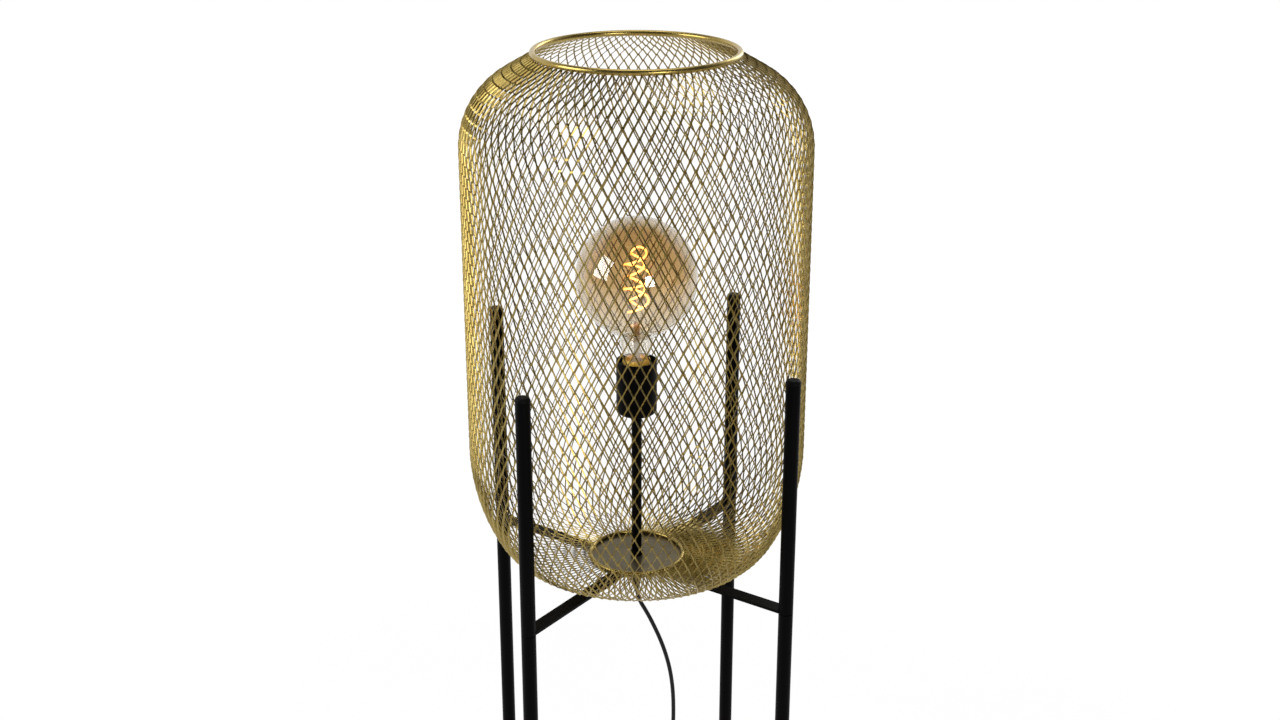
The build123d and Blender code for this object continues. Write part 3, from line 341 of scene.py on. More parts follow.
switch_plastic = finish("switch plastic", (0.010, 0.010, 0.011), 0.36, Specular_IOR_Level=0.45)
vary(switch_plastic, "Roughness", noise(switch_plastic, 0.012), 0.3, 0.44)
bump(switch_plastic, noise(switch_plastic, 0.0008, 2.0), 0.00004)

cord_sheath = finish("cord sheath", (0.004, 0.004, 0.004), 0.42, Specular_IOR_Level=0.25)
vary(cord_sheath, "Roughness", noise(cord_sheath, 0.006), 0.36, 0.52)
bump(cord_sheath, noise(cord_sheath, 0.0015, 2.0), 0.00004)

# %% Metals
zinc_steel = finish("zinc plated steel", (0.58, 0.60, 0.62), 0.3, 1.0)
vary(zinc_steel, "Roughness", noise(zinc_steel, 0.003), 0.22, 0.4)
tint(zinc_steel, noise(zinc_steel, 0.006), (0.50, 0.53, 0.56), (0.66, 0.67, 0.66))
bump(zinc_steel, noise(zinc_steel, 0.0008, 2.0), 0.00002)

brass = finish("brass", (0.80, 0.52, 0.16), 0.26, 1.0)
vary(brass, "Roughness", noise(brass, 0.004), 0.2, 0.34)
tint(brass, noise(brass, 0.008), (0.74, 0.46, 0.12), (0.86, 0.58, 0.2))

# painted glow: the rim and dish of the cap get a bright gold that stands in for the filament's light
# falling into the cap
cap_gold_painted_glow = finish("cap gold with painted glow", (0.95, 0.58, 0.10), 0.38, 0.4)
tint(cap_gold_painted_glow, noise(cap_gold_painted_glow, 0.004), (0.88, 0.52, 0.07), (0.98, 0.64, 0.13))
vary(cap_gold_painted_glow, "Roughness", noise(cap_gold_painted_glow, 0.002), 0.3, 0.46)
bump(cap_gold_painted_glow, noise(cap_gold_painted_glow, 0.0006, 2.0), 0.00003)

# %% Ceramic, and the black glass of the bulb's foot
white_ceramic = finish("white ceramic", (0.78, 0.76, 0.70), 0.55)
vary(white_ceramic, "Roughness", noise(white_ceramic, 0.004), 0.48, 0.66)
bump(white_ceramic, noise(white_ceramic, 0.0007, 2.0), 0.00003)

black_glass = finish("black foot glass", (0.012, 0.010, 0.012), 0.12)
vary(black_glass, "Roughness", noise(black_glass, 0.004), 0.08, 0.2)

# %% [markdown]
# ## Glass and light
# The globe is amber glass with a hard mirror-like skin. Seen straight through it is brown, and
# towards its rim it turns grey. That grey is a painted reflection: a grey mixed into the glass
# colour where the view grazes the globe, in place of the studio that the skin mirrors there. The
# neck is clear: the amber coat is inside the globe only. So the tint follows the height, and a coat
# layer with a high index gives the bright images of the softboxes. Only the outer skin of the globe
# has that coat: on the inner wall it would fill the bulb with grey reflections.

# %% Smoked glass
NECK_TOP = 0.799
GLOBE_TOP = 0.924
AMBER = (  # from the neck to the top
    (0.0, (0.95, 0.92, 0.85)),
    (0.16, (0.82, 0.71, 0.53)),
    (0.50, (0.76, 0.60, 0.375)),
    (1.0, (0.64, 0.47, 0.25)),
)
# painted reflection: the grey below is mixed into the glass colour towards the rim, for the studio
# mirrored there
PAINTED_RIM_REFLECTION = (0.76, 0.70, 0.59, 1)
REFLECTION_FROM, REFLECTION_TO = 0.36, 0.46  # share of grazing sight where the grey begins and is full
REFLECTION_LEVEL = 0.10  # the grey comes sooner towards the top
COAT_DEPTH = 0.0004  # the coat ends this far below the outer skin


def height_share(material, low, high):
    """A value that goes from 0 to 1 between two heights in metres."""
    tree = material.node_tree
    where = add_node(tree, "ShaderNodeTexCoord").outputs["Object"]
    level = add_node(tree, "ShaderNodeSeparateXYZ", {0: where}).outputs["Z"]
    return ramped(tree, level, low, high)


smoked_glass = finish(
    "smoked glass with painted rim reflection",
    (0.80, 0.64, 0.42),
    0.0,
    IOR=1.4,
    Transmission_Weight=1.0,
    Coat_Weight=1.0,
    Coat_Roughness=0.02,
    Coat_IOR=2.3,
)
tree = smoked_glass.node_tree
level = height_share(smoked_glass, NECK_TOP, GLOBE_TOP)
facing = add_node(tree, "ShaderNodeLayerWeight", {"Blend": 0.35}).outputs["Facing"]
# painted reflection: the grey share grows where the view grazes the globe, and sooner towards its top
grazing = computed(tree, "MULTIPLY_ADD", level, REFLECTION_LEVEL, facing)
rim = ramped(tree, grazing, REFLECTION_FROM, REFLECTION_TO)
amber_and_painted_reflection = add_node(
    tree,
    "ShaderNodeMix",
    {"Factor": rim, 6: coloured(tree, level, *AMBER), 7: PAINTED_RIM_REFLECTION},
    data_type="RGBA",
)
drive(smoked_glass, "Base Color", amber_and_painted_reflection.outputs[2])

globe_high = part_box("bulb_glass")[1]
globe_radius = globe_high.x
from_centre = add_node(
    tree,
    "ShaderNodeVectorMath",
    {
        0: add_node(tree, "ShaderNodeTexCoord").outputs["Object"],
        1: (0, 0, globe_high.z - globe_radius),
    },
    operation="DISTANCE",
).outputs["Value"]
outer_skin = computed(tree, "GREATER_THAN", from_centre, globe_radius - COAT_DEPTH)
inside_glass = add_node(tree, "ShaderNodeNewGeometry").outputs["Backfacing"]
coated = computed(tree, "SUBTRACT", outer_skin, inside_glass, use_clamp=True)
drive(smoked_glass, "Coat Weight", coated)

# %% Clear glass, and the milky glass of the mount with a painted glow
GLOW_PAINT_FROM, GLOW_PAINT_TO = 0.785, 0.814  # the heights between which it turns peach in the glow
clear_glass = finish("clear glass", (0.96, 0.97, 0.96), 0.02, IOR=1.5, Transmission_Weight=1.0)
vary(clear_glass, "Roughness", noise(clear_glass, 0.005), 0.0, 0.05)

milky_mount_and_painted_glow = finish("milky mount glass with painted glow", (0.92, 0.88, 0.82), 0.3, IOR=1.5, Transmission_Weight=0.5)
vary(milky_mount_and_painted_glow, "Roughness", noise(milky_mount_and_painted_glow, 0.004), 0.25, 0.4)
# painted glow: the mount's colour turns peach towards the filament, standing in for its light
painted_glow_share = height_share(milky_mount_and_painted_glow, GLOW_PAINT_FROM, GLOW_PAINT_TO)
tint(milky_mount_and_painted_glow, painted_glow_share, (0.86, 0.83, 0.78), (1.0, 0.62, 0.36))

# %% The glow: nearly white in the middle of the strand, and orange at its edges
GLOW_STRENGTH = 8.0
HEAT = ((0.0, (1.0, 0.63, 0.23)), (0.75, (0.24, 0.06, 0.006)))  # from the middle to the edge

glowing = finish("glowing filament", (1.0, 0.6, 0.25), 0.5, Emission_Strength=GLOW_STRENGTH)
tree = glowing.node_tree
facing = add_node(tree, "ShaderNodeLayerWeight", {"Blend": 0.5}).outputs["Facing"]
drive(glowing, "Emission Color", coloured(tree, facing, *HEAT))

# %% Every CAD node gets the finish of its slot
FINISHES = {
    "black_paint": black_paint,
    "gold_paint": gold_paint,
    "disc_metal": disc_metal,
    "black_plastic": black_plastic,
    "switch_plastic": switch_plastic,
    "cord_sheath": cord_sheath,
    "zinc_steel": zinc_steel,
    "brass": brass,
    "white_ceramic": white_ceramic,
    "black_glass": black_glass,
    "smoked_glass": smoked_glass,
    "clear_glass": clear_glass,
    "glowing_filament": glowing,
}
slot_of = {part["node"]: part["material_slot"] for part in frame["record"]["subparts"]}
for name, node in nodes.items():
    node.data.materials.clear()
    node.data.materials.append(FINISHES[slot_of[name]])
# the hoops get the lighter copy of the gold paint, which is painted light
for name in ("top_hoop", "bottom_hoop"):
    nodes[name].data.materials[0] = hoop_gold_painted_light
nodes["glass_mount"].data.materials[0] = milky_mount_and_painted_glow
print(len(nodes), "CAD nodes have their finish")

# %% [markdown]
# ## Formulas in Geometry Nodes
# A node tree reads badly as a long list of math nodes. This small class lets a formula on fields be
# written with + and *, and each sign becomes one Math node.

# %% Fields that can be added and multiplied


class Field:
    """A socket of a node tree that takes part in formulas."""

    def __init__(self, tree, socket):
        self.tree = tree
        self.socket = socket

    def math(self, operation, *others):
        sockets = [getattr(other, "socket", other) for other in others]
        return Field(self.tree, computed(self.tree, operation, self.socket, *sockets))

    def __add__(self, other):
        return self.math("ADD", other)

    def __sub__(self, other):
        return self.math("SUBTRACT", other)

    def __mul__(self, other):
        return self.math("MULTIPLY", other)

    def __truediv__(self, other):
        return self.math("DIVIDE", other)


def parts_of(tree, vector):
    """The x, y and z of a vector socket, as fields."""
    split = add_node(tree, "ShaderNodeSeparateXYZ", {0: vector})
    return [Field(tree, socket) for socket in split.outputs]


def joined(tree, x, y, z):
    """A vector socket from three fields or numbers."""
    values = [getattr(value, "socket", value) for value in (x, y, z)]
    return add_node(tree, "ShaderNodeCombineXYZ", dict(enumerate(values))).outputs[0]


# %% Steps that the trees share
SPREAD = 10.0  # keeps the copies of a grid apart before they are bent
MERGE_DISTANCE = 0.00001
SOCKET_KINDS = {  # of the sizes that a tree takes
    float: "NodeSocketFloat",
    int: "NodeSocketInt",
    bpy.types.Object: "NodeSocketObject",
    bpy.types.Material: "NodeSocketMaterial",
    Vector: "NodeSocketVector",
}


def new_tree(name, **sizes):
    """An empty Geometry Nodes tree with named inputs. Gives the tree and its input fields."""
    tree = bpy.data.node_groups.new(name, "GeometryNodeTree")
    tree.interface.new_socket("Geometry", in_out="OUTPUT", socket_type="NodeSocketGeometry")
    for key, value in sizes.items():
        kind = next(kind for known, kind in SOCKET_KINDS.items() if isinstance(value, known))
        tree.interface.new_socket(key, in_out="INPUT", socket_type=kind)
    entry = tree.nodes.new("NodeGroupInput")
    return tree, {key: Field(tree, entry.outputs[key]) for key in sizes}


def grid_of(tree, section, steps, length=1.0):
    """A flat grid, to be rolled: so many sides across, and so many steps along."""
    points = steps + 1
    return add_node(
        tree,
        "GeometryNodeMeshGrid",
        {
            "Size X": float(section),
            "Size Y": getattr(length, "socket", length),
            "Vertices X": section + 1,
            "Vertices Y": getattr(points, "socket", points),
        },
    ).outputs["Mesh"]


def copies_of(tree, points, shape, **placing):
    """A copy of a shape at every point."""
    inputs = {"Points": points, "Instance": shape} | placing
    return add_node(tree, "GeometryNodeInstanceOnPoints", inputs).outputs[0]


def side_by_side(tree, count, shape):
    """Copies of a grid in a row, as one mesh. Gives the mesh and the number of each copy, with
    every point's place across and along its own copy."""
    row = {"Count": count.socket, "Offset": (SPREAD, 0, 0)}
    places = add_node(tree, "GeometryNodeMeshLine", row).outputs[0]
    loose = add_node(tree, "GeometryNodeRealizeInstances", {0: copies_of(tree, places, shape)})
    across, along = grid_place(tree)
    number = (across / SPREAD).math("ROUND")
    return loose.outputs[0], number, across - number * SPREAD, along


def grid_place(tree):
    """Each point's place across and along a grid, counted from the grid's middle."""
    return parts_of(tree, add_node(tree, "GeometryNodeInputPosition").outputs[0])[:2]


def corner_side(corner, wave):
    """-1 or 1: on which side a corner of a square lies, by the COSINE or SINE of its angle."""
    return (corner * (pi / 2) - pi / 4).math(wave).math("SIGN")


def moved(tree, geometry, place):
    """Moves every point of a geometry to its place."""
    inputs = {"Geometry": geometry, "Position": place}
    return add_node(tree, "GeometryNodeSetPosition", inputs).outputs[0]


def welded(tree, geometry):
    """Points that meet become one."""
    inputs = {"Geometry": geometry, "Distance": MERGE_DISTANCE}
    return add_node(tree, "GeometryNodeMergeByDistance", inputs).outputs[0]


def end_tree(tree, geometry, material):
    """The last steps of a tree: instances become real mesh, and the mesh gets its finish."""
    real = add_node(tree, "GeometryNodeRealizeInstances", {0: geometry})
    painted = add_node(
        tree, "GeometryNodeSetMaterial", {"Geometry": real.outputs[0], "Material": material}
    )
    exit_node = tree.nodes.new("NodeGroupOutput")
    tree.links.new(painted.outputs[0], exit_node.inputs[0])


# %% Pieces from trees and curves


def mesh_of(thing):
    """The final mesh of an object, which is removed."""
    seen = thing.evaluated_get(bpy.context.evaluated_depsgraph_get())
    mesh = bpy.data.meshes.new_from_object(seen)
    bpy.data.objects.remove(thing)
    return mesh


def piece_of(name, data, body):
    """A piece of the lamp that rides on a body."""
    piece = linked(name, data)
    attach(piece, body)
    return piece


def grown(name, tree, body, slot, **sizes):
    """Runs a tree on an empty mesh, and keeps the result as a plain mesh that rides on a body."""
    host = linked(name + "_host", bpy.data.meshes.new(name + "_host"))
    modifier = host.modifiers.new("tree", "NODES")
    modifier.node_group = tree
    for item in tree.interface.items_tree:
        if item.in_out == "INPUT":
            modifier[item.identifier] = sizes[item.name]
    mesh = mesh_of(host)
    mesh.name = name
    shell = bmesh.new()
    shell.from_mesh(mesh)
    volume = shell.calc_volume(signed=True)
    if volume < 0:  # the faces point inwards
        bmesh.ops.reverse_faces(shell, faces=shell.faces)
        shell.to_mesh(mesh)
    open_edges = sum(edge.is_boundary for edge in shell.edges)
    shell.free()
    triangles = sum(len(face.vertices) - 2 for face in mesh.polygons)
    print(f"{name}: {triangles} triangles, {open_edges} open edges, {abs(volume) * 1e9:.0f} mm3")
    return piece_of(name, mesh, body)


def tube(name, points, radius, material, roundness, steps):
    """A round NURBS curve along control points in metres."""
    made = bpy.data.curves.new(name, "CURVE")
    made.dimensions = "3D"
    made.bevel_depth = radius
    made.bevel_resolution = roundness
    made.use_fill_caps = True
    made.materials.append(material)
    line = made.splines.new("NURBS")
    line.points.add(len(points) - 1)
    for spot, place in zip(line.points, points):
        spot.co = (*place, 1)
    line.order_u = 3
    line.use_endpoint_u = True
    line.resolution_u = steps
    return made


def rod(name, points, radius, material, body="bulb"):
    """A round rod along points, made a mesh, that rides on a body."""
    mesh = mesh_of(linked(name + "_curve", tube(name, points, radius, material, 3, 5)))
    mesh.shade_smooth()
    return piece_of(name, mesh, body)


# %% [markdown]
# ## The cage
# Expanded metal starts as a sheet with staggered slits, and is pulled sideways until each slit
# opens into a diamond. So the mesh is really many upright strips. Each one zigzags, and it is
# joined to its left and right neighbours in turn. Pulling also tilts every strip about the
# vertical, and that is why the left side of the cage looks closed and bright, and the front thin.
#
# The tree makes one strip as a long tube of four sides, puts a copy of it at every place round the
# cage, and then bends all of them at once: across becomes the angle, and up becomes the way along
# the cage's outline. The outline is a curve of straight lines and arcs, as in the CAD model.

# %% The outline of the cage
RING_HEIGHT = 0.550
SHADE_RADIUS = 0.175
BOWL_RADIUS, BOWL_TURN = 0.065, radians(60)
FLANK_RADIUS = 0.200
WALL_HEIGHT = 0.3167
SHOULDER_RADIUS, SHOULDER_TURN = 0.085, radians(60)
MESH_DEPTH = 0.0007  # half the depth of the expanded metal
ARC_STEP = radians(3)
TOP_ROD_RADIUS = 0.003
IN_TOP_HOOP = 0.0002  # how far the strips reach into the hoops
IN_BOTTOM_HOOP = 0.0006

bottom_hoop_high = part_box("bottom_hoop")[1]
top_hoop_low, top_hoop_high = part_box("top_hoop")


def outline_of_cage():
    """Points (radius, height) on the middle of the metal, from the lower hoop to the upper one."""
    points = [Vector((bottom_hoop_high.x - IN_BOTTOM_HOOP, RING_HEIGHT))]
    flat_end = (
        SHADE_RADIUS - BOWL_RADIUS * sin(BOWL_TURN) - FLANK_RADIUS * (1 - sin(BOWL_TURN))
    )
    heading = 0.0
    place = Vector((flat_end, RING_HEIGHT))
    points.append(place)

    def arc(radius, turn):
        nonlocal place, heading
        steps = round(turn / ARC_STEP)
        for _ in range(steps):
            middle = heading + turn / steps / 2
            chord = 2 * radius * sin(turn / steps / 2)
            place = place + chord * Vector((cos(middle), sin(middle)))
            heading += turn / steps
            points.append(place)

    arc(BOWL_RADIUS - MESH_DEPTH, BOWL_TURN)
    arc(FLANK_RADIUS - MESH_DEPTH, pi / 2 - BOWL_TURN)
    place = place + Vector((0, WALL_HEIGHT))
    points.append(place)
    arc(SHOULDER_RADIUS - MESH_DEPTH, SHOULDER_TURN)
    hoop_middle = (top_hoop_low.z + top_hoop_high.z) / 2
    hoop_centre = Vector((top_hoop_high.x - TOP_ROD_RADIUS, hoop_middle))
    slope = Vector((cos(heading), sin(heading)))
    to_hoop = (hoop_centre - place).dot(slope) - (TOP_ROD_RADIUS - IN_TOP_HOOP)
    points.append(place + slope * to_hoop)
    return points


outline_data = bpy.data.curves.new("cage_outline", "CURVE")
outline_data.dimensions = "3D"
line = outline_data.splines.new("POLY")
outline_points = outline_of_cage()
line.points.add(len(outline_points) - 1)
for spot, (radius, height) in zip(line.points, outline_points):
    spot.co = (radius, 0, height, 1)
outline = linked("cage_outline", outline_data)
outline_length = sum((b - a).length for a, b in zip(outline_points, outline_points[1:]))
print("the outline is", round(outline_length, 4), "m long")

# %% The expanded metal
COLUMNS = 95  # diamonds round the cage
HALF_ROWS = 61  # joins along a strip, from hoop to hoop
STRIP_WIDTH = 0.0015
STRIP_THICKNESS = 0.0007
STRIP_TILT = radians(35)
JOIN_LENGTH = 0.0018  # how far two strips run side by side
SIDES = 4  # of a strip's section

mesh_sizes = {
    "Columns": COLUMNS,
    "Half rows": HALF_ROWS,
    "Width": STRIP_WIDTH,
    "Thickness": STRIP_THICKNESS,
    "Tilt": STRIP_TILT,
    "Join": JOIN_LENGTH,
    "Outline": outline,
    "Metal": gold_paint,
}
tree, size = new_tree("expanded metal", **mesh_sizes)
path_steps = size["Half rows"] * 2 + 1
strip = grid_of(tree, SIDES, path_steps, path_steps)
loose, strip_number, across, along = side_by_side(tree, size["Columns"] * 2, strip)
corner = (across + SIDES / 2).math("ROUND")
step = (along + path_steps / 2).math("ROUND")
half_row = (step / 2).math("FLOOR")
past_join = step - half_row * 2

# A strip leans left or right by turns. At a join two strips lie side by side.
leans_right = (half_row + strip_number).math("FLOORED_MODULO", 2)
side = leans_right * 2 - 1
sine = size["Tilt"].math("SINE")
cosine = size["Tilt"].math("COSINE")

# The four corners of the strip's section, before and after its tilt. At both ends of the strip,
# inside the hoops, they meet in one point, which closes the tube.
fullness = step.math("MINIMUM", path_steps - step).math("MINIMUM", 1.0)
wide = corner_side(corner, "COSINE") * size["Width"] * -0.5 * fullness
thick = corner_side(corner, "SINE") * size["Thickness"] * -0.5 * fullness
sideways = wide * cosine + thick * sine - side * cosine * size["Width"] * 0.5
outwards = thick * cosine - wide * sine + side * sine * size["Width"] * 0.5

# Across is an angle, and up is a length along the outline.
outline_curve = add_node(tree, "GeometryNodeObjectInfo", {"Object": size["Outline"].socket})
measure = add_node(tree, "GeometryNodeCurveLength", {0: outline_curve.outputs["Geometry"]})
length = Field(tree, measure.outputs[0])
row_height = length / size["Half rows"]
up = half_row * row_height + (past_join - 0.5) * size["Join"]
up = up.math("MAXIMUM", 0.0).math("MINIMUM", length)
sample = add_node(
    tree,
    "GeometryNodeSampleCurve",
    {"Curves": outline_curve.outputs["Geometry"], "Length": up.socket},
    mode="LENGTH",
)
radius, _, height = parts_of(tree, sample.outputs["Position"])
run, _, rise = parts_of(tree, sample.outputs["Tangent"])
angle = (strip_number + leans_right) * pi / size["Columns"]
far = radius + outwards * rise
bent = joined(
    tree,
    far * angle.math("COSINE") - sideways * angle.math("SINE"),
    far * angle.math("SINE") + sideways * angle.math("COSINE"),
    height - outwards * run,
)
end_tree(tree, welded(tree, moved(tree, loose, bent)), size["Metal"].socket)
cage = grown("cage", tree, "lamp", "gold_paint", **mesh_sizes)
bpy.data.objects.remove(outline)
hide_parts("shade_mesh")

# %% [markdown]
# ## Spot welds
# The ends of the strips are welded to the two hoops, and each pair of ends leaves a small bead of
# metal under the paint. Beads on a circle are instances of one small sphere. Real beads differ, so
# each gets its own size from a random value with a fixed seed, and each is turned to its angle on
# the circle.

# %% The weld beads on both hoops
WELD_SEED = 7
BEAD = 0.0012
bead_sizes = {
    "Count": COLUMNS,
    "Circle": bottom_hoop_high.x,
    "Height": RING_HEIGHT,
    "First angle": 0.0,
    "Bead": BEAD,
    "Seed": WELD_SEED,
    "Metal": hoop_gold_painted_light,
}
tree, size = new_tree("weld beads", **bead_sizes)
number = Field(tree, add_node(tree, "GeometryNodeInputIndex").outputs[0])
spots = add_node(tree, "GeometryNodePoints", {"Count": size["Count"].socket})
angle = number / size["Count"] * (2 * pi) + size["First angle"]
across = angle.math("COSINE") * size["Circle"]
ahead = angle.math("SINE") * size["Circle"]
on_circle = moved(tree, spots.outputs[0], joined(tree, across, ahead, size["Height"]))
ball = add_node(
    tree,
    "GeometryNodeMeshUVSphere",
    {"Segments": 8, "Rings": 5, "Radius": size["Bead"].socket},
)
uneven = add_node(
    tree,
    "FunctionNodeRandomValue",
    {0: (0.75, 0.75, 0.6), 1: (1.2, 1.2, 1.0), "Seed": size["Seed"].socket},
    data_type="FLOAT_VECTOR",
)
beads = copies_of(
    tree,
    on_circle,
    ball.outputs["Mesh"],
    Rotation=joined(tree, 0.0, 0.0, angle),
    Scale=uneven.outputs[0],
)
end_tree(tree, beads, size["Metal"].socket)
grown("welds_below", tree, "lamp", "gold_paint", **bead_sizes)
top_end = outline_points[-1]
above = {"Circle": top_end.x, "Height": top_end.y, "First angle": pi / COLUMNS}
grown("welds_above", tree, "lamp", "gold_paint", **(bead_sizes | above))

# %% [markdown]
# ## The filament
# The bulb has a soft light strip instead of a thin wire. It rises from the glass mount in a spiral,
# turns over at the top and comes down again inside its own turns. One curve through points on two
# spirals gives that, and it becomes a mesh. Two leads carry its ends, and a third wire holds the
# top.

# %% The filament and its wires
STRIP_RADIUS = 0.0013
SPIRAL_LOW, SPIRAL_HIGH = 0.8255, 0.8905
SPIRAL_TURNS = 2.5
SPIRAL_START = radians(200)
OUTER_SPIRAL, INNER_SPIRAL = 0.0155, 0.009
SPIRAL_STEPS = 34
END_REACH = 0.62  # reach at the ends of a spiral, as a share of its reach in the middle
TOP_LOOP = 0.004  # how far the strip's loop stands above the spirals
LEAD_WIRE, HOLDER_WIRE = 0.0004, 0.0003  # radii
LEAD_SIDE, HOLDER_BACK = 0.0015, 0.0008  # where the wires leave the mount, from its middle
WIRE_FOOT = 0.001  # how deep the wires stand in the mount
LEAD_STRAIGHT, LEAD_BEND = 0.003, 0.006  # heights above the mount between which a lead bends out
HOLDER_MIDDLE = 0.86  # height of the top holder's control point inside the spirals
mount_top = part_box("glass_mount")[1].z


def spiral(spread, first_angle, count):
    """Points of a spiral that is wider at its middle than at its ends, from low to high."""
    points = []
    for step in range(count + 1):
        share = step / count
        angle = first_angle + 2 * pi * SPIRAL_TURNS * share
        reach = spread * (END_REACH + (1 - END_REACH) * sin(pi * share))
        height = SPIRAL_LOW + (SPIRAL_HIGH - SPIRAL_LOW) * share
        points.append(Vector((reach * cos(angle), reach * sin(angle), height)))
    return points


rising = spiral(OUTER_SPIRAL, SPIRAL_START, SPIRAL_STEPS)
falling = spiral(INNER_SPIRAL, SPIRAL_START + pi, SPIRAL_STEPS)[::-1]
loop_top = (rising[-1] + falling[0]) / 2 + Vector((0, 0, TOP_LOOP))
strip = rod(
    "light_strip", [*rising, loop_top, *falling], STRIP_RADIUS, glowing
)
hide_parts("filament")
for name, side, end in (("lead_outer", -1, rising[0]), ("lead_inner", 1, falling[-1])):
    route = [
        (side * LEAD_SIDE, 0, mount_top - WIRE_FOOT),
        (side * LEAD_SIDE, 0, mount_top + LEAD_STRAIGHT),
        (end.x, end.y, mount_top + LEAD_BEND),
        end,
    ]
    rod(name, route, LEAD_WIRE, zinc_steel)
holder_route = [
    (0, HOLDER_BACK, mount_top - WIRE_FOOT),
    (0, HOLDER_BACK, HOLDER_MIDDLE),
    (0, HOLDER_BACK, SPIRAL_HIGH),
    loop_top - Vector((0, 0, STRIP_RADIUS)),
]
holder = rod("top_holder", holder_route, HOLDER_WIRE, zinc_steel)
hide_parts("support_wires")
print("the strip spans", round(OUTER_SPIRAL * 2, 4), "m; its leads start at", round(mount_top, 4))

# %% [markdown]
# ## The rim of the bulb's cap
# The brass cap is crimped onto the glass with a rim, and it is the gold lens in the mouth of the
# black cup. The rim narrows towards the glass on the outside. Inside, under the clear neck, a
# crumpled gold dish closes the cap. The bright gold of both is painted glow: it stands in for the
# filament's light falling into the cap. Both are short cones whose wall goes in and out as it goes
# round, so one tree makes them: it rolls a grid into a tube and moves each point by a wave of the
# angle.

# %% A tree for crimped cones
CRIMPS = 20
CRIMP_DEPTH = 0.0003
CONE_WALL = 0.0003
cap_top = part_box("bulb_cap")[1]
rim_sizes = {
    "Low radius": cap_top.x + 0.0013,
    "High radius": cap_top.x + 0.0001,
    "Low": cap_top.z - 0.0022,
    "High": cap_top.z + 0.0020,
    "Wall": CONE_WALL,
    "Crimps": CRIMPS,
    "Depth": CRIMP_DEPTH,
    "Metal": cap_gold_painted_glow,
}
dish_sizes = rim_sizes | {
    "Low radius": 0.0037,
    "High radius": 0.0117,
    "Low": cap_top.z - 0.0030,
    "High": cap_top.z + 0.0016,
}
tree, size = new_tree("crimped cone", **rim_sizes)
ROUND, SECTION = 160, 4
sheet = grid_of(tree, SECTION, ROUND)
across, along = grid_place(tree)
corner = (across + SECTION / 2).math("ROUND")
turned = along * (2 * pi)
outside = corner_side(corner, "COSINE") * 0.5 + 0.5
above = corner_side(corner, "SINE") * 0.5 + 0.5
wave = (turned * size["Crimps"]).math("COSINE") * size["Depth"]
reach = size["Low radius"] + above * (size["High radius"] - size["Low radius"])
reach = reach + outside * size["Wall"] + wave * above
level = size["Low"] + above * (size["High"] - size["Low"])
rolled = joined(tree, reach * turned.math("COSINE"), reach * turned.math("SINE"), level)
end_tree(tree, welded(tree, moved(tree, sheet, rolled)), size["Metal"].socket)
grown("cap_rim", tree, "bulb", "brass", **rim_sizes)
grown("cap_dish", tree, "bulb", "brass", **dish_sizes)

# %% [markdown]
# ## The cord
# A round cord 4.5 mm thick leaves the grip under the lamp, falls to the floor and runs through a
# foot switch to the plug. What the photograph doesn't show of its 2 m is wound into a tied coil on
# the floor. Each cord is one NURBS curve, so it bends as a real one. Its control points are listed
# one by one, but for those of the coil, which come from a formula.

# %% Cords
CORD_DIAMETER = 0.0045
cord_radius = CORD_DIAMETER / 2


def cord(name, points):
    """A round cord along control points in metres."""
    return piece_of(name, tube(name, points, cord_radius, cord_sheath, 4, 8), "lamp")


GRIP_TIP = (0, 0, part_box("cord_grip")[0].z)
SWITCH_PLACE = (-0.010, -0.098)
RELIEF_REACH = 0.063  # from the switch's middle to the tips of its strain reliefs
CORD_AXIS_HEIGHT = 0.0075
LYING = cord_radius + 0.0001  # height of the cord's axis where it lies on the floor
DROP = [
    GRIP_TIP,
    (0, 0, 0.496),
    (0.0135, -0.002, 0.472),
    (0.030, -0.005, 0.432),
    (0.039, -0.007, 0.392),
    (0.041, -0.007, 0.344),
    (0.038, -0.006, 0.288),
    (0.035, -0.005, 0.230),
    (0.037, -0.005, 0.170),
    (0.043, -0.006, 0.114),
    (0.051, -0.010, 0.062),
    (0.061, -0.018, 0.027),
    (0.080, -0.032, cord_radius + 0.0003),
    (0.099, -0.051, LYING),
    (0.100, -0.076, LYING),
    (0.082, SWITCH_PLACE[1], CORD_AXIS_HEIGHT),
    (SWITCH_PLACE[0] + RELIEF_REACH, SWITCH_PLACE[1], CORD_AXIS_HEIGHT),
]
drop_cord = cord("cord_to_switch", DROP)
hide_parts("power_cord_drop")

# %% The coil, and the rest of the cord to the plug
COIL_CENTRE = Vector((-0.030, 0.028))
COIL_MID_RADIUS = 0.026
COIL_TURNS = 3  # in each of two layers
TURN_GAP = 0.00045  # between neighbouring turns and between the layers
CLIMB_EASE = 0.0008  # the innermost turn lies this much further in, where the cord climbs
TIE_BAND = 0.0008  # the tie's band runs under the coil
FIT_GAP = 0.0001
POINTS_PER_HALF_TURN = 10
layer_step = CORD_DIAMETER + TURN_GAP
first_layer = TIE_BAND + FIT_GAP + cord_radius
second_layer = first_layer + layer_step
coil_radius = COIL_MID_RADIUS + layer_step * COIL_TURNS / 2


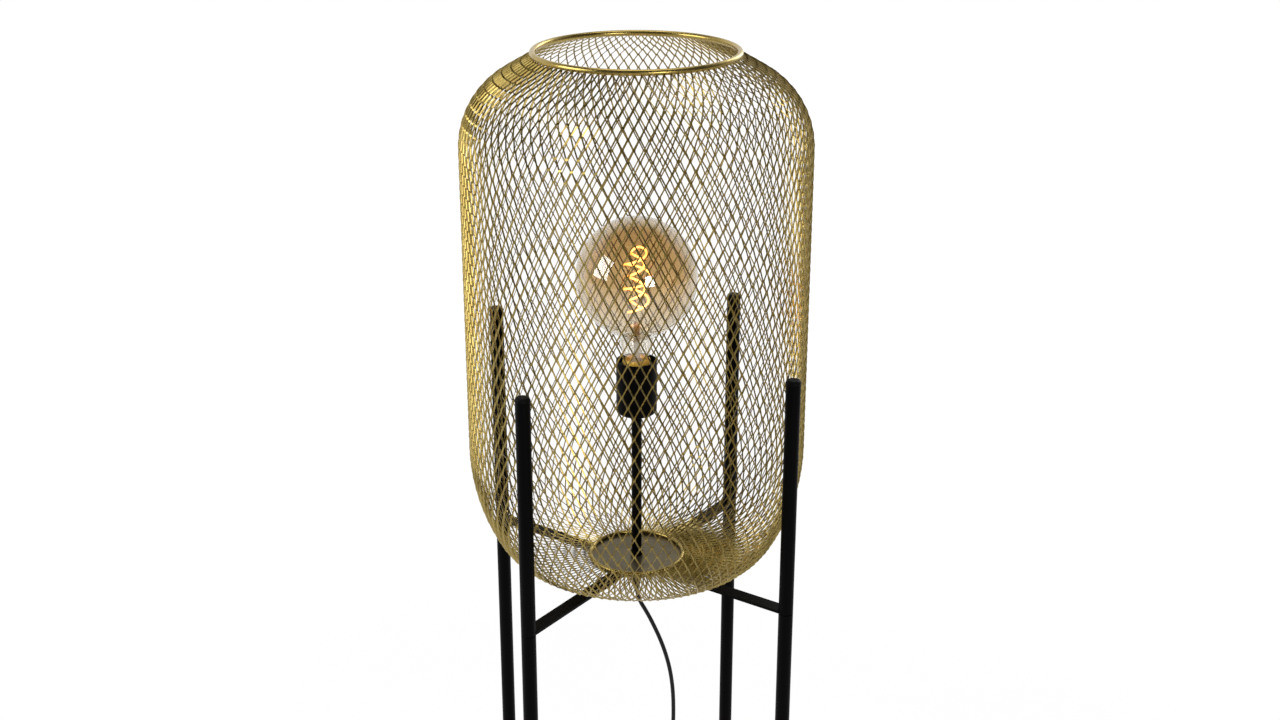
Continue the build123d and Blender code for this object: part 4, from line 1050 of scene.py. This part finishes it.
def coil_points():
    """Control points of the coil, in half turns: in along the floor, up, and out on top."""
    radii = [coil_radius - layer_step / 2 * half for half in range(2 * COIL_TURNS)]
    inner = radii[-1] - layer_step / 2 - CLIMB_EASE
    radii += [inner, inner] + radii[:0:-1]
    heights = [first_layer] * (2 * COIL_TURNS + 1) + [second_layer] * (2 * COIL_TURNS)
    half_step = pi / POINTS_PER_HALF_TURN / 2
    points = []
    side = -1
    for begin, end, low, high in zip(radii, radii[1:], heights, heights[1:]):
        middle = COIL_CENTRE.x + side * (begin - end) / 2
        reach = (begin + end) / 2 / cos(half_step)
        for count in range(POINTS_PER_HALF_TURN):
            share = (count + 0.5) / POINTS_PER_HALF_TURN
            across = side * reach * cos(share * pi)
            ahead = -side * reach * sin(share * pi)
            points.append(
                (middle + across, COIL_CENTRE.y + ahead, low + (high - low) * share)
            )
        side = -side
    return points, radii[-1]


coil, coil_exit = coil_points()
print("the coil has", len(coil), "points and ends", round(coil_exit, 5), "m from its middle")
START = (COIL_CENTRE.x - coil_radius, COIL_CENTRE.y)
END = (COIL_CENTRE.x - coil_exit, COIL_CENTRE.y + CORD_DIAMETER)
LEAD = [
    (SWITCH_PLACE[0] - RELIEF_REACH, SWITCH_PLACE[1], CORD_AXIS_HEIGHT),
    (-0.098, SWITCH_PLACE[1], CORD_AXIS_HEIGHT),
    (-0.117, -0.076, LYING),
    (-0.112, -0.046, LYING),
    (-0.088, -0.024, LYING),
    (START[0], -0.004, first_layer),
    (START[0], START[1] - CORD_DIAMETER, first_layer),
]
PLUG_END = (0.002, 0.108)
TAIL = [
    (END[0], END[1], second_layer),
    (END[0], 0.052, second_layer),
    (-0.058, 0.078, cord_radius + 0.0002),
    (-0.044, 0.100, LYING),
    (-0.020, PLUG_END[1], CORD_AXIS_HEIGHT),
    (*PLUG_END, CORD_AXIS_HEIGHT),
]
plug_cord = cord("cord_to_plug", LEAD + coil + TAIL)
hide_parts("power_cord_lead", "cord_coil", "power_cord_tail")

# %% [markdown]
# ## Ribs on the grips
# Where a cord leaves a plastic part, soft ribs round its sleeve share out the bend. Each rib is a
# thin ring, and the rings get smaller towards the tip. The tree takes a small grid for every rib,
# rolls each one into a ring of the right size, and then turns the whole set to where it belongs.
# The button of the switch has rings too, all at one height, for the foot or thumb that presses it.

# %% A tree for ribs on a taper
RIB_ROUND, RIB_SECTION = 28, 6
rib_sizes = {
    "Count": 4,
    "Pitch": 0.003,
    "First radius": 0.0037,
    "Last radius": 0.0047,
    "Rib": 0.0005,
    "Place": Vector((0, 0, 0.5125)),
    "Turn": Vector((0, 0, 0)),
    "Plastic": black_plastic,
}
tree, size = new_tree("ribs on a taper", **rib_sizes)
flat_rib = grid_of(tree, RIB_SECTION, RIB_ROUND)
loose, number, across, along = side_by_side(tree, size["Count"], flat_rib)
section_angle = across * (2 * pi / RIB_SECTION)
turned = along * (2 * pi)
taper = (size["Last radius"] - size["First radius"]) / (size["Count"] - 1)
reach = size["First radius"] + taper * number + section_angle.math("COSINE") * size["Rib"]
rolled = joined(
    tree,
    reach * turned.math("COSINE"),
    reach * turned.math("SINE"),
    number * size["Pitch"] + section_angle.math("SINE") * size["Rib"],
)
placed = add_node(
    tree,
    "GeometryNodeTransform",
    {
        "Geometry": welded(tree, moved(tree, loose, rolled)),
        "Translation": size["Place"].socket,
        "Rotation": size["Turn"].socket,
    },
)
end_tree(tree, placed.outputs[0], size["Plastic"].socket)

# %% The ribs under the lamp, on the switch and on the plug
QUARTER = pi / 2
SWITCH_TO_RIBS = 0.043  # from the switch's middle to the first rib on each side
PLUG_TO_RIBS = 0.018  # from the end of the cord to the first rib on the plug
grown("grip_ribs", tree, "lamp", "black_plastic", **rib_sizes)
relief_sizes = rib_sizes | {
    "Count": 5,
    "Pitch": 0.0038,
    "First radius": 0.0047,
    "Last radius": 0.0037,
    "Plastic": switch_plastic,
}
switch_x, switch_y = SWITCH_PLACE
lamp_side = {
    "Place": Vector((switch_x + SWITCH_TO_RIBS, switch_y, CORD_AXIS_HEIGHT)),
    "Turn": Vector((0, QUARTER, 0)),
}
plug_side = {
    "Place": Vector((switch_x - SWITCH_TO_RIBS, switch_y, CORD_AXIS_HEIGHT)),
    "Turn": Vector((0, -QUARTER, 0)),
}
plug_relief = {
    "Place": Vector((PLUG_END[0] + PLUG_TO_RIBS, PLUG_END[1], CORD_AXIS_HEIGHT)),
    "Turn": Vector((0, -QUARTER, 0)),
}
for name, place in (
    ("relief_ribs_lamp_side", lamp_side),
    ("relief_ribs_plug_side", plug_side),
    ("relief_ribs_plug", plug_relief),
):
    grown(name, tree, "lamp", "switch_plastic", **(relief_sizes | place))

button_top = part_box("switch_button")[1].z
button_rings = relief_sizes | {
    "Count": 3,
    "Pitch": 0.0,
    "First radius": 0.0028,
    "Last radius": 0.0078,
    "Rib": 0.0004,
    "Place": Vector((switch_x, switch_y, button_top)),
}
grown("button_rings", tree, "button", "switch_plastic", **button_rings)

# %% [markdown]
# ## The spring in the switch
# Under the button is a coil spring. When the button goes down, the real spring gets shorter, and a
# rigid one would come through the button. Here it is a rod along a helix over the height of the
# spring's CAD piece, and it rides on the lamp's body, so it doesn't follow the button.

# %% The spring
SPRING_RADIUS = 0.004
SPRING_WIRE = 0.0008
SPRING_TURNS, POINTS_PER_TURN = 4, 16
spring_low, spring_high = (corner.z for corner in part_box("switch_spring"))
spring_steps = SPRING_TURNS * POINTS_PER_TURN
rise = spring_high - spring_low - SPRING_WIRE
helix = []
for count in range(spring_steps + 1):
    angle = 2 * pi * count / POINTS_PER_TURN
    height = spring_low + SPRING_WIRE / 2 + rise * count / spring_steps
    helix.append(
        (switch_x + SPRING_RADIUS * cos(angle), switch_y + SPRING_RADIUS * sin(angle), height)
    )
spring = rod("coil_spring", helix, SPRING_WIRE / 2, zinc_steel, "lamp")
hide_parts("switch_spring")
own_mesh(spring)

# %% [markdown]
# ## The plug
# The plug has raised bars on its upper face, where fingers pull it. They are instances of one
# stretched sphere in a row, and half of each is inside the plug.

# %% The bars on the plug
PLUG_TO_BARS = 0.030  # from the end of the cord to the first bar
bar_sizes = {
    "Count": 4,
    "Pitch": 0.0036,
    "Bar": Vector((0.0008, 0.0070, 0.0006)),
    "Place": Vector((PLUG_END[0] + PLUG_TO_BARS, PLUG_END[1], 2 * CORD_AXIS_HEIGHT)),
    "Plastic": switch_plastic,
}
tree, size = new_tree("row of bars", **bar_sizes)
bar_places = add_node(
    tree,
    "GeometryNodeMeshLine",
    {
        "Count": size["Count"].socket,
        "Start Location": size["Place"].socket,
        "Offset": joined(tree, size["Pitch"], 0.0, 0.0),
    },
)
bar = add_node(tree, "GeometryNodeMeshUVSphere", {"Segments": 12, "Rings": 8, "Radius": 1.0})
bars = copies_of(
    tree, bar_places.outputs[0], bar.outputs["Mesh"], Scale=size["Bar"].socket
)
end_tree(tree, bars, size["Plastic"].socket)
grown("plug_bars", tree, "lamp", "switch_plastic", **bar_sizes)
